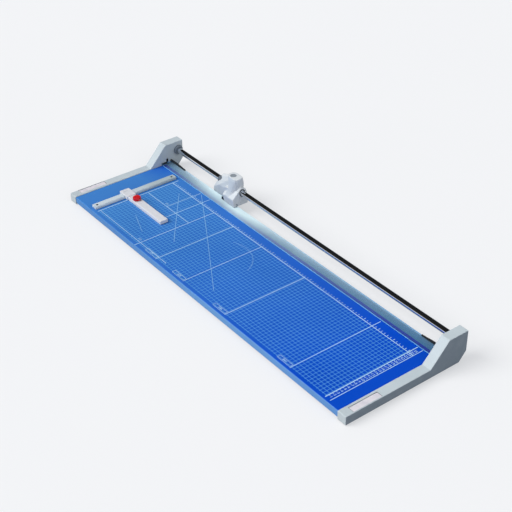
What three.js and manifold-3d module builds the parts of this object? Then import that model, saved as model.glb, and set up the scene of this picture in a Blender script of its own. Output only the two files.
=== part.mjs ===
// Rotary paper trimmer: a cutting head with a circular blade rides on a round guide rod along the
// rear edge of a printed table. A clear strip clamps the paper beside the cut.
// Millimetres. +X runs along the cut to the right, +Y to the rear, +Z up.
// The origin is on the ground, under the middle of the whole trimmer.

import * as THREE from 'three';
import { ConvexGeometry } from 'three/addons/geometries/ConvexGeometry.js';
import { mergeVertices } from 'three/addons/utils/BufferGeometryUtils.js';
import Module from 'manifold-3d';

const wasm = await Module();
wasm.setup();

// ---------------------------------------------------------------- driving dimensions

const GAP = 0.3;                 // clearance between neighbouring solids
const SCREW_R = 2;               // shank of the ordinary screws
const SCREW_HOLE_R = SCREW_R + GAP;
const BIG = 400;                 // reach of a cutting solid that runs past everything

const INNER_LENGTH = 1105;       // between the inner faces of the end housings
const END_WIDTH = 27.5;          // width of an end housing
const DEPTH = 360;               // front to back
const INNER_X = INNER_LENGTH / 2;
const OUTER_X = INNER_X + END_WIDTH;
const FRONT_Y = -DEPTH / 2;
const BACK_Y = DEPTH / 2;

// End housing, side outline
const FOOT_DROP = 2;             // rubber feet stand this far below the housing
const RAIL_TOP = 26;
const BLOCK_TOP = 84;
const SLOPE_FOOT_Y = 68;         // where the slope leaves the low rail
const SLOPE_TOP_Y = 121;         // where the slope reaches the flat top
const REAR_CHAMFER_Y = 159;
const REAR_CHAMFER_Z = 27;
const WALL = 3;

// Table and lower blade
const TABLE_TOP = 24;
const SHEET = 2;                 // sheet thickness of the table
const SKIRT_BOTTOM = 5;
const TABLE_FRONT_Y = -178;
const TABLE_REAR_Y = 118.7;
const CUT_Y = 140;               // the cutting edge, rear edge of the lower blade
const BLADE_STRIP_T = 3;

// Carrier channel under the lower blade
const CARRIER_FRONT_Y = 96;
const CARRIER_REAR_Y = 139.5;
const CARRIER_BOTTOM = 6;
const CARRIER_TOP = TABLE_TOP - BLADE_STRIP_T - GAP;
const CARRIER_WALL = 2;

// Guide rod
const ROD_Y = 163;
const ROD_Z = 58;
const ROD_R = 8.25;
const ROD_BORE_R = 6.4;
const SOCKET_R = 14;
const SOCKET_DEPTH = 20;

// Clamp strip, lifted off the table at rest
const STRIP_FRONT_Y = 105;
const STRIP_REAR_Y = 139.7;
const STRIP_BOTTOM = 25.6;
const STRIP_TOP = 28.6;
const TONGUE_Y = [107.5, 126.5]; // narrow end of the strip that enters the housing
const TONGUE_X = INNER_X + 11;

// Cutting head; its own x runs from the middle of the head
const HEAD_X = -289.5;
const HEAD_LEFT = -62;           // from the middle of the head, as every head length in x
const HEAD_FRONT_Y = 142.2;      // behind the cut
const HEAD_BOTTOM = 22;          // behind the cut
const FOOT_FRONT_Y = 127;        // the foot reaches forward over the clamp strip
const FOOT_BOTTOM = 29.4;
const FOOT_ENDS = [13, 59];      // left and right end at the foot's sole
const FOOT_LEAN = [-0.36, -0.33]; // how far each end moves in x per millimetre of height
const HEAD_SPLIT_Y = 150.5;      // joint between the cover and the body
const COVER_LEFT = -28;          // the cover's left end
const BUSH_R = 10;
const BUSH_LENGTH = 18;
const BUSH_LEFT = -52;
const BUSH_RIGHT = 27;

// Circular blade
const BLADE_X = 14;              // from the middle of the head
const BLADE_R = 21;
const BLADE_Z = TABLE_TOP - 1 + BLADE_R;
const BLADE_Y = CUT_Y + GAP;
const BLADE_T = 1.2;
const AXLE_R = 3;

// Press rollers
const ROLLER_R = 6;
const ROLLERS_X = [26, 46];      // from the middle of the head
const ROLLER_Y = [129.3, 133.3];
const ROLLER_Z = STRIP_TOP + GAP + ROLLER_R;

// Ruler bar and stop
const BAR_X = [-480.5, -461.5];
const BAR_Y = [-168, 95];
const BAR_TOP = 32;
const STOP_Y = -60.5;            // middle of the stop at rest
const SLIDER_X = [-489, -450];
const SLIDER_HALF_Y = 14.5;
const SLIDER_TOP = 36;
const ARM_X = [-449.7, -289.5];
const ARM_HALF_Y = 12;
const ARM_TOP = 34.5;
const KNOB_X = -423;
const KNOB_R = 11;

// ---------------------------------------------------------------- materials

const COLOURS = {
  moulding: { color: 0xc4ccd1, roughness: 0.5, metalness: 0 },
  tableBlue: { color: 0x2f6fc4, roughness: 0.35, metalness: 0 },
  aluminium: { color: 0xb8bcc0, roughness: 0.45, metalness: 1 },
  blackSteel: { color: 0x30343a, roughness: 0.5, metalness: 1 },
  groundSteel: { color: 0x9aa6ab, roughness: 0.25, metalness: 1 },
  chrome: { color: 0xe6e9ec, roughness: 0.05, metalness: 1 },
  rubber: { color: 0x2b2d30, roughness: 0.9, metalness: 0 },
  blackPlastic: { color: 0x1c1e21, roughness: 0.45, metalness: 0 },
  whitePlastic: { color: 0xe4e2e6, roughness: 0.45, metalness: 0 },
  redPlastic: { color: 0xd8202a, roughness: 0.3, metalness: 0 },
  labelGrey: { color: 0xd2ccd2, roughness: 0.6, metalness: 0 },
  badgeGrey: { color: 0x7d858c, roughness: 0.5, metalness: 0 },
  clear: { color: 0xbfe3dc, roughness: 0.1, metalness: 0, transparent: true, opacity: 0.4 },
};

function mesh(name, geometry, colour) {
  const part = new THREE.Mesh(geometry, new THREE.MeshStandardMaterial(COLOURS[colour]));
  part.name = name;
  return part;
}

// ---------------------------------------------------------------- solids

function toSolid(geometry) {
  const bare = geometry.clone();
  bare.deleteAttribute('normal');
  bare.deleteAttribute('uv');
  const merged = mergeVertices(bare, 1e-4);
  return new wasm.Manifold(new wasm.Mesh({
    numProp: 3,
    vertProperties: new Float32Array(merged.attributes.position.array),
    triVerts: new Uint32Array(merged.index.array),
  }));
}

function toGeometry(solid) {
  const data = solid.getMesh();
  const geometry = new THREE.BufferGeometry();
  geometry.setAttribute('position', new THREE.BufferAttribute(data.vertProperties, 3));
  geometry.setIndex(new THREE.BufferAttribute(data.triVerts, 1));
  geometry.computeVertexNormals();
  return geometry;
}

function cut(geometry, ...tools) {
  let solid = toSolid(geometry);
  for (const tool of tools) {
    solid = solid.subtract(toSolid(tool));
  }
  return toGeometry(solid);
}

function join(geometry, ...others) {
  let solid = toSolid(geometry);
  for (const other of others) {
    solid = solid.add(toSolid(other));
  }
  return toGeometry(solid);
}

function common(geometry, other) {
  return toGeometry(toSolid(geometry).intersect(toSolid(other)));
}

// Box from its limits on each axis; the limits may come in either order.
function box(xs, ys, zs) {
  const size = [xs, ys, zs].map(([a, b]) => Math.abs(b - a));
  const middle = [xs, ys, zs].map(([a, b]) => (a + b) / 2);
  return new THREE.BoxGeometry(...size).translate(...middle);
}

function outlineShape(points) {
  return new THREE.Shape(points.map(([u, v]) => new THREE.Vector2(u, v)));
}

// Prism of a closed outline; bevel is the chamfer round both end faces.
function extrude(points, length, bevel = 0) {
  return new THREE.ExtrudeGeometry(outlineShape(points), {
    depth: length - 2 * bevel,
    bevelEnabled: bevel > 0,
    bevelThickness: bevel,
    bevelSize: bevel,
    bevelOffset: -bevel,
    bevelSegments: 1,
    curveSegments: 1,
    steps: 1,
  }).translate(0, 0, bevel);
}

// Outline in (y, z), extruded along X.
function prismX(points, xs, bevel = 0) {
  const low = Math.min(...xs);
  const toAxes = new THREE.Matrix4().makeBasis(
    new THREE.Vector3(0, 1, 0),
    new THREE.Vector3(0, 0, 1),
    new THREE.Vector3(1, 0, 0),
  );
  return extrude(points, Math.abs(xs[1] - xs[0]), bevel).applyMatrix4(toAxes).translate(low, 0, 0);
}

// Outline in (x, z), extruded along Y.
function prismY(points, ys) {
  const high = Math.max(...ys);
  return extrude(points, Math.abs(ys[1] - ys[0])).rotateX(Math.PI / 2).translate(0, high, 0);
}

// Outline in (x, y), extruded along Z.
function prismZ(points, zs) {
  return extrude(points, Math.abs(zs[1] - zs[0])).translate(0, 0, Math.min(...zs));
}

// Round bars between two stations on one axis; at gives the other two coordinates in axis order.
const ROUND = 24;
const SMALL_ROUND = 16;

function barX(radius, xs, [y, z], sides = ROUND) {
  const length = Math.abs(xs[1] - xs[0]);
  return new THREE.CylinderGeometry(radius, radius, length, sides)
    .rotateZ(Math.PI / 2).translate((xs[0] + xs[1]) / 2, y, z);
}

function barY(radius, ys, [x, z], sides = ROUND) {
  const length = Math.abs(ys[1] - ys[0]);
  return new THREE.CylinderGeometry(radius, radius, length, sides)
    .translate(x, (ys[0] + ys[1]) / 2, z);
}

function barZ(radius, zs, [x, y], sides = ROUND) {
  const length = Math.abs(zs[1] - zs[0]);
  return new THREE.CylinderGeometry(radius, radius, length, sides)
    .rotateX(Math.PI / 2).translate(x, y, (zs[0] + zs[1]) / 2);
}

// Turned part about the Y axis from (radius, y) points; the profile closes on the axis or itself.
function turned(points, sides = ROUND) {
  return new THREE.LatheGeometry(points.map(([r, y]) => new THREE.Vector2(r, y)), sides);
}

// Ring about the Y axis.
function ring(inner, outer, length, sides = ROUND) {
  return turned([[inner, 0], [outer, 0], [outer, length], [inner, length], [inner, 0]], sides);
}

// Screw along +Y: its tip is at shaftLength, its head lies below y = 0 with a conical drive recess.
const SCREW_SIDES = 12;

function screw(shaftR, shaftLength, headR, headHeight) {
  return turned([
    [0, -headHeight / 2],
    [shaftR * 0.7, -headHeight],
    [headR, -headHeight],
    [headR, 0],
    [shaftR, 0],
    [shaftR, shaftLength],
    [0, shaftLength],
  ], SCREW_SIDES);
}

class Helix extends THREE.Curve {
  constructor(radius, height, turns) {
    super();
    this.radius = radius;
    this.height = height;
    this.turns = turns;
  }

  getPoint(t, target = new THREE.Vector3()) {
    const angle = 2 * Math.PI * this.turns * t;
    return target.set(
      this.radius * Math.cos(angle),
      this.radius * Math.sin(angle),
      this.height * t,
    );
  }
}

// Coil spring standing on z = 0, height measured over the wire.
function coilSpring(radius, wireR, height, turns) {
  const wire = new THREE.Shape().absarc(0, 0, wireR, 0, 2 * Math.PI);
  const stepsPerTurn = 10;
  return new THREE.ExtrudeGeometry(wire, {
    extrudePath: new Helix(radius, height - 2 * wireR, turns),
    steps: Math.round(stepsPerTurn * turns),
    curveSegments: 3,
    bevelEnabled: false,
  }).translate(0, 0, wireR);
}

// ---------------------------------------------------------------- end housings

// Outline in (y, z) of the housing, moved inwards by inset down to the given height.
function housingOutline(inset, bottomZ) {
  const slope = (BLOCK_TOP - RAIL_TOP) / (SLOPE_TOP_Y - SLOPE_FOOT_Y);
  const along = Math.hypot(1, slope);
  const railTop = RAIL_TOP - inset;
  const blockTop = BLOCK_TOP - inset;
  const slopeShift = (inset * along + railTop - RAIL_TOP) / slope;
  const topShift = (inset * along + blockTop - BLOCK_TOP) / slope;
  const chamferSlope = (REAR_CHAMFER_Z - FOOT_DROP) / (BACK_Y - REAR_CHAMFER_Y);
  const chamferShift = inset * Math.hypot(1, chamferSlope) / chamferSlope;
  const yOnChamfer = (z) => REAR_CHAMFER_Y + (z - FOOT_DROP) / chamferSlope - chamferShift;
  const back = BACK_Y - inset;
  const chamferZ = FOOT_DROP + (back - REAR_CHAMFER_Y + chamferShift) * chamferSlope;
  return [
    [FRONT_Y + inset, bottomZ],
    [yOnChamfer(bottomZ), bottomZ],
    [back, chamferZ],
    [back, blockTop],
    [SLOPE_TOP_Y + topShift, blockTop],
    [SLOPE_FOOT_Y + slopeShift, railTop],
    [FRONT_Y + inset, railTop],
  ];
}

const LABEL_X = [8, 24];         // from the inner face
const LABEL_Y = [-155, -74];
const LABEL_DEPTH = 1.2;
const FEET_Y = [-160, 140];
const FOOT_R = 8;
const FOOT_STEM_R = 3;
const BASE_PLATE_Z = [FOOT_DROP + GAP, FOOT_DROP + GAP + 2];
const BASE_PLATE_REAR_Y = 154;
const LEDGE_REACH = 14;          // ledge under the table's end
const LEDGE_Y = [-165, 60];
const LEDGE_Z = [14, TABLE_TOP - SHEET - GAP];
const SPIGOT_Z = [8, CARRIER_TOP - CARRIER_WALL - GAP];
const ROD_LOCK_R = 3;
const TABLE_SCREW_INSET = 7;     // from the inner face of a housing, towards the middle
const TABLE_SCREW_TIP = TABLE_TOP - 0.7;
const TABLE_SCREWS_Y = [-140, 40];
const ROD_LOCK_X = INNER_X + 12;
const SPRING_X = INNER_X + 7;
const SPRING_Y = 112;
const SPRING_POST_TOP = 12;
const SPRING_WIRE_R = 0.5;
const HANGER_X = [INNER_X + 3.6, INNER_X + 11];
const HANGER_TOP = 36.5;

function screwHoleZ(ends, centre) {
  return barZ(SCREW_HOLE_R, ends, centre, SCREW_SIDES);
}

function endHousing(side, name) {
  const inner = side * INNER_X;
  const outer = side * OUTER_X;
  const at = (offset) => side * (INNER_X + offset);
  const shell = cut(
    prismX(housingOutline(0, FOOT_DROP), [inner, outer], 1.2),
    prismX(housingOutline(WALL, FOOT_DROP - 1), [at(WALL), at(END_WIDTH - WALL)]),
  );
  const filled = join(
    shell,
    barX(SOCKET_R, [at(WALL - 1), at(SOCKET_DEPTH + WALL)], [ROD_Y, ROD_Z]),
    box([at(8), at(16)], [ROD_Y + 4, BACK_Y - 1], [ROD_Z - 6, ROD_Z + 6]),
    box([at(1), at(-LEDGE_REACH)], LEDGE_Y, LEDGE_Z),
    box(
      [at(1), at(-LEDGE_REACH)],
      [CARRIER_FRONT_Y + CARRIER_WALL + GAP, CARRIER_REAR_Y - CARRIER_WALL - GAP],
      SPIGOT_Z,
    ),
    box([at(1), at(WALL + 10)], [SPRING_Y - 5, SPRING_Y + 5], [CARRIER_BOTTOM, SPRING_POST_TOP]),
  );
  const screwHoles = TABLE_SCREWS_Y.map(
    (y) => screwHoleZ([0, TABLE_TOP], [at(-TABLE_SCREW_INSET), y]),
  );
  const geometry = cut(
    filled,
    barX(ROD_R + GAP, [at(-1), at(SOCKET_DEPTH)], [ROD_Y, ROD_Z]),
    barY(ROD_LOCK_R + GAP, [ROD_Y + ROD_R - 1, BACK_Y + 1], [side * ROD_LOCK_X, ROD_Z], SCREW_SIDES),
    box(
      [at(LABEL_X[0] - GAP), at(LABEL_X[1] + GAP)],
      [LABEL_Y[0] - GAP, LABEL_Y[1] + GAP],
      [RAIL_TOP - LABEL_DEPTH, RAIL_TOP + 1],
    ),
    box([at(-1), at(WALL + 1)], [TONGUE_Y[0] - 2, TONGUE_Y[1] + 2], [STRIP_BOTTOM - 2, 31]),
    box([at(-1), at(WALL + 1)], [TONGUE_Y[1] - 5, TONGUE_Y[1] + 2], [30, HANGER_TOP + 3]),
    ...screwHoles,
  );
  return mesh(name, geometry, 'moulding');
}

function basePlate(side, name) {
  const xs = [side * (INNER_X + WALL + GAP), side * (OUTER_X - WALL - GAP)];
  const holes = FEET_Y.map((y) => barZ(FOOT_STEM_R + GAP, [0, 10], [side * footX(), y], SCREW_SIDES));
  const plate = box(xs, [FRONT_Y + WALL + GAP, BASE_PLATE_REAR_Y], BASE_PLATE_Z);
  return mesh(name, cut(plate, ...holes), 'blackPlastic');
}

function footX() {
  return INNER_X + END_WIDTH / 2;
}

function rubberFoot(side, y, name) {
  const profile = [
    [0, 0], [FOOT_R - 1, 0], [FOOT_R, 0.8], [FOOT_R, FOOT_DROP],
    [FOOT_STEM_R, FOOT_DROP], [FOOT_STEM_R, 6], [0, 6],
  ];
  const foot = mesh(name, turned(profile, SMALL_ROUND).rotateX(Math.PI / 2), 'rubber');
  foot.position.set(side * footX(), y, 0);
  return foot;
}

function labelPlate(side, name) {
  const xs = LABEL_X.map((offset) => side * (INNER_X + offset));
  const zs = [RAIL_TOP - LABEL_DEPTH + GAP, RAIL_TOP - 0.1];
  return mesh(name, box(xs, LABEL_Y, zs), 'labelGrey');
}

// ---------------------------------------------------------------- guide rod and its fittings

function guideRod() {
  const length = 2 * (INNER_X + SOCKET_DEPTH - GAP);
  const rod = mesh('guide_rod', ring(ROD_BORE_R, ROD_R, length).rotateZ(-Math.PI / 2), 'chrome');
  rod.position.set(-length / 2, ROD_Y, ROD_Z);
  return rod;
}

const BUMPER_LENGTH = 6;

function bumper(side, name) {
  const part = mesh(name, ring(ROD_R + GAP, SOCKET_R, BUMPER_LENGTH).rotateZ(-Math.PI / 2), 'rubber');
  const nearEnd = side > 0 ? INNER_X - GAP - BUMPER_LENGTH : -INNER_X + GAP;
  part.position.set(nearEnd, ROD_Y, ROD_Z);
  return part;
}

// Headless screw from the rear, holding the rod in its socket.
function rodLockScrew(side, name) {
  const start = ROD_Y + ROD_R + GAP;
  const length = BACK_Y - 1.5 - start;
  const socketFloor = length - 3;
  const profile = [
    [0, 0], [ROD_LOCK_R - 0.8, 0], [ROD_LOCK_R, 0.8], [ROD_LOCK_R, length],
    [ROD_LOCK_R / 2, length], [ROD_LOCK_R / 2, socketFloor], [0, socketFloor],
  ];
  const part = mesh(name, turned(profile, SCREW_SIDES), 'blackSteel');
  part.position.set(side * ROD_LOCK_X, start, ROD_Z);
  return part;
}

// ---------------------------------------------------------------- table

const RULER_SCREWS_Y = [-158, 85];
const RULER_SCREW_X = (BAR_X[0] + BAR_X[1]) / 2;

function tableBoard() {
  const under = TABLE_TOP - SHEET;
  const flange = 14;
  const rearLip = 2.6;
  const outline = [
    [TABLE_FRONT_Y, SKIRT_BOTTOM],
    [TABLE_FRONT_Y + flange, SKIRT_BOTTOM],
    [TABLE_FRONT_Y + flange, SKIRT_BOTTOM + SHEET],
    [TABLE_FRONT_Y + SHEET, SKIRT_BOTTOM + SHEET],
    [TABLE_FRONT_Y + SHEET, under],
    [TABLE_REAR_Y - SHEET, under],
    [TABLE_REAR_Y - SHEET, TABLE_TOP - rearLip],
    [TABLE_REAR_Y, TABLE_TOP - rearLip],
    [TABLE_REAR_Y, TABLE_TOP],
    [TABLE_FRONT_Y + 1, TABLE_TOP],
    [TABLE_FRONT_Y, TABLE_TOP - 1],
  ];
  const half = INNER_X - GAP;
  const blindTop = TABLE_TOP - 0.4;
  const tools = RULER_SCREWS_Y.map((y) => screwHoleZ([0, TABLE_TOP + 1], [RULER_SCREW_X, y]));
  for (const side of [-1, 1]) {
    for (const y of TABLE_SCREWS_Y) {
      tools.push(screwHoleZ([under - 1, blindTop], [side * (INNER_X - TABLE_SCREW_INSET), y]));
    }
  }
  return mesh('table_board', cut(prismX(outline, [-half, half]), ...tools), 'tableBlue');
}

// Folded channel under the table, open downwards.
function tableBrace(x, name) {
  const half = 15;
  const wall = 1.5;
  const top = TABLE_TOP - SHEET - GAP;
  const bottom = top - 11;
  const outline = [
    [-half, bottom], [-half, top], [half, top], [half, bottom],
    [half - wall, bottom], [half - wall, top - wall], [wall - half, top - wall], [wall - half, bottom],
  ];
  const part = mesh(name, prismY(outline, [-160, 92]), 'aluminium');
  part.position.x = x;
  return part;
}

const BLADE_SCREWS_X = [-450, -150, 150, 450];
const BLADE_SCREW_Y = 130;

function bladeCarrier() {
  const w = CARRIER_WALL;
  const outline = [
    [CARRIER_FRONT_Y, CARRIER_BOTTOM],
    [CARRIER_FRONT_Y, CARRIER_TOP],
    [CARRIER_REAR_Y, CARRIER_TOP],
    [CARRIER_REAR_Y, CARRIER_BOTTOM],
    [CARRIER_REAR_Y - w, CARRIER_BOTTOM],
    [CARRIER_REAR_Y - w, CARRIER_TOP - w],
    [CARRIER_FRONT_Y + w, CARRIER_TOP - w],
    [CARRIER_FRONT_Y + w, CARRIER_BOTTOM],
  ];
  const half = INNER_X - GAP;
  const holes = BLADE_SCREWS_X.map((x) => screwHoleZ([0, TABLE_TOP], [x, BLADE_SCREW_Y]));
  return mesh('blade_carrier', cut(prismX(outline, [-half, half]), ...holes), 'aluminium');
}

function lowerBlade() {
  const half = INNER_X - GAP;
  const bottom = TABLE_TOP - BLADE_STRIP_T;
  const strip = box([-half, half], [TABLE_REAR_Y + GAP, CUT_Y], [bottom, TABLE_TOP]);
  const holes = BLADE_SCREWS_X.map((x) => screwHoleZ([bottom - 1, TABLE_TOP - 0.7], [x, BLADE_SCREW_Y]));
  return mesh('lower_blade', cut(strip, ...holes), 'groundSteel');
}

// Upright screw whose head bears under a wall at the given height.
function uprightScrew(name, x, y, wallBottom, tip, headR = 3.8) {
  const start = wallBottom - GAP;
  const part = mesh(name, screw(SCREW_R, tip - start, headR, 2.2).rotateX(Math.PI / 2), 'blackSteel');
  part.position.set(x, y, start);
  return part;
}

// ---------------------------------------------------------------- clamp strip

function clampStrip() {
  const half = INNER_X - GAP;
  const outline = [
    [-half, STRIP_FRONT_Y], [half, STRIP_FRONT_Y],
    [half, TONGUE_Y[0]], [TONGUE_X, TONGUE_Y[0]], [TONGUE_X, TONGUE_Y[1]], [half, TONGUE_Y[1]],
    [half, STRIP_REAR_Y], [-half, STRIP_REAR_Y],
    [-half, TONGUE_Y[1]], [-TONGUE_X, TONGUE_Y[1]], [-TONGUE_X, TONGUE_Y[0]], [-half, TONGUE_Y[0]],
  ];
  return mesh('clamp_strip', prismZ(outline, [STRIP_BOTTOM, STRIP_TOP]), 'clear');
}

const RAMP_LENGTH = 72;
const RAMP_RISE = 5.5;
const RAMP_Y = [135, 139.4];

// Wedge along the strip's rear edge, low towards the middle of the trimmer.
function stripRamp(side, name) {
  const end = side * (INNER_X - 0.6);
  const tip = end - side * RAMP_LENGTH;
  const plateau = end - side * RAMP_LENGTH * 0.45;
  const bottom = STRIP_TOP + GAP;
  const outline = [
    [tip, bottom], [end, bottom], [end, bottom + RAMP_RISE],
    [plateau, bottom + RAMP_RISE], [tip, bottom + 1],
  ];
  const ordered = side > 0 ? outline : outline.reverse();
  return mesh(name, prismY(ordered, RAMP_Y), 'blackPlastic');
}

// Block that holds the strip's tongue inside the housing, with a finger in the upright slot.
function stripHanger(side, name) {
  const xs = HANGER_X.map((x) => side * x);
  const bottom = STRIP_TOP + GAP;
  const block = box(xs, [TONGUE_Y[0] - 1, TONGUE_Y[1] + 1], [bottom, HANGER_TOP]);
  const finger = box(
    [side * (INNER_X + 0.4), xs[1]],
    [TONGUE_Y[1] - 4, TONGUE_Y[1] + 1],
    [bottom + 2, HANGER_TOP + 1],
  );
  return mesh(name, join(block, finger), 'blackPlastic');
}

function liftSpring(side, name) {
  const height = STRIP_BOTTOM - SPRING_POST_TOP - 2 * GAP;
  const part = mesh(name, coilSpring(3, SPRING_WIRE_R, height, 4.5), 'groundSteel');
  part.position.set(side * SPRING_X, SPRING_Y, SPRING_POST_TOP + GAP);
  return part;
}

// ---------------------------------------------------------------- cutting head

// Hood sections (x, [[y, z], ...]) from its low left end up to the turret.
const HOOD = [
  [HEAD_LEFT, [[146, HEAD_BOTTOM], [BACK_Y, HEAD_BOTTOM], [146, 34], [150, 40], [176, 48], [BACK_Y, 46]]],
  [-52, [[163, 66], [172, 70], [BACK_Y, 62]]],
  [-33, [[HEAD_FRONT_Y, HEAD_BOTTOM], [HEAD_FRONT_Y, 54]]],
  [16, [
    [HEAD_FRONT_Y, HEAD_BOTTOM], [BACK_Y, HEAD_BOTTOM],
    [144, 57], [158, 88], [163, 95], [176, 95], [BACK_Y, 88],
  ]],
];
// Turret outlines from the foot up: z, left, right, front, rear, front and rear corner radius.
const TURRET = [
  [46, 8, 34.5, FOOT_FRONT_Y, BACK_Y, 8, 5],
  [50, 8, 34.5, 127.6, BACK_Y, 9, 5],
  [55, 9, 34.5, 131.3, BACK_Y, 10, 5],
  [62, 9.5, 35, 135.3, BACK_Y, 11, 6],
  [70, 9, 37, 138.3, BACK_Y, 13, 7],
  [80, 6, 38.8, 142, BACK_Y, 14, 9],
  [90, 0, 39.2, 145.3, 179, 14, 12],
  [95.5, -5, 39, 148, 178, 14, 13],
  [97, -4, 37.5, 149.5, 177, 13, 13],
];
// Side profile (y, z) of the sloping base that carries the foot and wraps the rod.
const BASE_SIDE = [
  [FOOT_FRONT_Y, FOOT_BOTTOM], [FOOT_FRONT_Y, 48], [129, 50], [160, 72], [166, 73], [171, 71],
  [176, 65.5], [178, 58], [177, 44], [173, FOOT_BOTTOM],
];
const REAR_BLOCK_X = [-22, 40];
const REAR_BLOCK_Y = [HEAD_FRONT_Y, 178];
const REAR_BLOCK_TOP = 50;
const BADGE_X = 12.5;
const BADGE_Y = 160.5;
const BADGE_R = 8.8;
const BADGE_FLOOR = 95;
const RAMP_CHANNEL_Y = [134.3, 139.9];
const RAMP_CHANNEL_TOP = STRIP_TOP + GAP + RAMP_RISE + 1.5;
const POCKET_Y = 139.9;
const POCKET_HALF = BLADE_R + 1.2;
const BLADE_GUARD_R = POCKET_HALF + 2;
const BLADE_GUARD_FRONT_Y = 137.3;
const ROLLER_PIN_R = 1.5;
const AXLE_Y = [131.6, 155];
const HEAD_SCREWS = [[-18, 38], [14, 78], [30, 78]];  // (x, z)
const HEAD_SCREW_TIP_Y = 146.5;
const HEAD_SCREW_RECESS_R = 4.1;
const HEAD_SCREW_RECESS = 5;       // depth below the rear face
const SHOE_X = [-1, 12.5];
const SHOE_TOP = 42;

function hull(...sections) {
  const points = sections.flatMap(([x, section]) => section.map(([y, z]) => new THREE.Vector3(x, y, z)));
  return new ConvexGeometry(points);
}

// One turret outline: a rectangle with rounded corners at its own height.
function turretOutline([z, left, right, front, rear, frontR, rearR]) {
  const steps = 4;
  const corners = [
    [left + frontR, front + frontR, frontR, Math.PI],
    [right - frontR, front + frontR, frontR, Math.PI * 1.5],
    [right - rearR, rear - rearR, rearR, 0],
    [left + rearR, rear - rearR, rearR, Math.PI / 2],
  ];
  return corners.flatMap(([x, y, r, start]) => Array.from({ length: steps + 1 }, (_, i) => {
    const angle = start + i / steps * Math.PI / 2;
    return new THREE.Vector3(x + r * Math.cos(angle), y + r * Math.sin(angle), z);
  }));
}

// Slices between one outline and the next, joined into the flared turret.
function turret() {
  const outlines = TURRET.map(turretOutline);
  const slices = outlines.slice(1).map((upper, i) => new ConvexGeometry([...outlines[i], ...upper]));
  return join(...slices);
}

// The foot and the slope behind it, between two leaning end faces.
function slopingBase() {
  const ends = FOOT_ENDS.map((sole, i) => BASE_SIDE.map(
    ([y, z]) => new THREE.Vector3(sole + FOOT_LEAN[i] * (z - FOOT_BOTTOM), y, z),
  ));
  return new ConvexGeometry(ends.flat());
}

// Round boss over the blade, standing out in front of the hood.
function bladeGuard() {
  const boss = barY(BLADE_GUARD_R, [BLADE_GUARD_FRONT_Y, HEAD_SPLIT_Y], [BLADE_X, BLADE_Z]);
  return common(boss, box([-BIG, BIG], [0, BIG], [FOOT_BOTTOM, BIG]));
}

function headBlock() {
  const rear = box(REAR_BLOCK_X, REAR_BLOCK_Y, [HEAD_BOTTOM, REAR_BLOCK_TOP]);
  return join(hull(...HOOD), turret(), slopingBase(), bladeGuard(), rear);
}

// The space the cover takes, grown by a margin on the faces where it meets the body.
function coverSpace(margin) {
  return box([COVER_LEFT - margin, BIG], [0, HEAD_SPLIT_Y + margin], [0, BIG]);
}

function headBody() {
  const screwHoles = HEAD_SCREWS.flatMap(([x, z]) => [
    barY(SCREW_HOLE_R, [HEAD_SPLIT_Y - 1, BACK_Y + 1], [x, z], SCREW_SIDES),
    barY(HEAD_SCREW_RECESS_R, [BACK_Y - HEAD_SCREW_RECESS, BACK_Y + 1], [x, z], SCREW_SIDES),
  ]);
  const geometry = cut(
    headBlock(),
    coverSpace(GAP / 2),
    barX(BUSH_R + GAP, [-BIG, BIG], [ROD_Y, ROD_Z]),
    barY(AXLE_R + GAP, [HEAD_SPLIT_Y - 1, AXLE_Y[1] + GAP], [BLADE_X, BLADE_Z], SCREW_SIDES),
    barZ(BADGE_R + GAP, [BADGE_FLOOR, BIG], [BADGE_X, BADGE_Y]),
    ...screwHoles,
  );
  return mesh('head_body', geometry, 'moulding');
}

function headCover() {
  const rollerPockets = ROLLERS_X.flatMap((x) => [
    box(
      [x - ROLLER_R - 1, x + ROLLER_R + 1],
      [ROLLER_Y[0] - GAP, ROLLER_Y[1] + GAP],
      [0, ROLLER_Z + ROLLER_R + 1],
    ),
    barY(ROLLER_PIN_R + GAP, [FOOT_FRONT_Y + 0.8, RAMP_CHANNEL_Y[0] + 1.5], [x, ROLLER_Z], SCREW_SIDES),
  ]);
  const pocketX = [BLADE_X - POCKET_HALF, BLADE_X + POCKET_HALF];
  const pocketY = [POCKET_Y, HEAD_SPLIT_Y + 1];
  const bladePocket = join(
    barY(POCKET_HALF, pocketY, [BLADE_X, BLADE_Z]),
    box(pocketX, pocketY, [0, BLADE_Z]),
  );
  const screwHoles = HEAD_SCREWS.map(
    ([x, z]) => barY(SCREW_HOLE_R, [HEAD_SCREW_TIP_Y - 0.5, HEAD_SPLIT_Y + 1], [x, z], SCREW_SIDES),
  );
  const geometry = cut(
    common(headBlock(), coverSpace(-GAP / 2)),
    box([-BIG, BIG], RAMP_CHANNEL_Y, [0, RAMP_CHANNEL_TOP]),
    bladePocket,
    barY(AXLE_R + GAP, [AXLE_Y[0] - GAP, POCKET_Y + 1], [BLADE_X, BLADE_Z], SCREW_SIDES),
    barZ(BADGE_R + GAP, [BADGE_FLOOR, BIG], [BADGE_X, BADGE_Y]),
    ...rollerPockets,
    ...screwHoles,
  );
  return mesh('head_cover', geometry, 'moulding');
}

function headBadge() {
  const profile = [[0, 0], [BADGE_R, 0], [BADGE_R, 0.8], [BADGE_R - 0.8, 1.4], [0, 1.4]];
  const badge = mesh('head_badge', turned(profile).rotateX(Math.PI / 2), 'badgeGrey');
  badge.position.set(BADGE_X, BADGE_Y, BADGE_FLOOR + GAP);
  return badge;
}

function slideBush(start, name) {
  const bush = mesh(name, ring(ROD_R + GAP, BUSH_R, BUSH_LENGTH).rotateZ(-Math.PI / 2), 'blackPlastic');
  bush.position.set(start, ROD_Y, ROD_Z);
  return bush;
}

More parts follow.
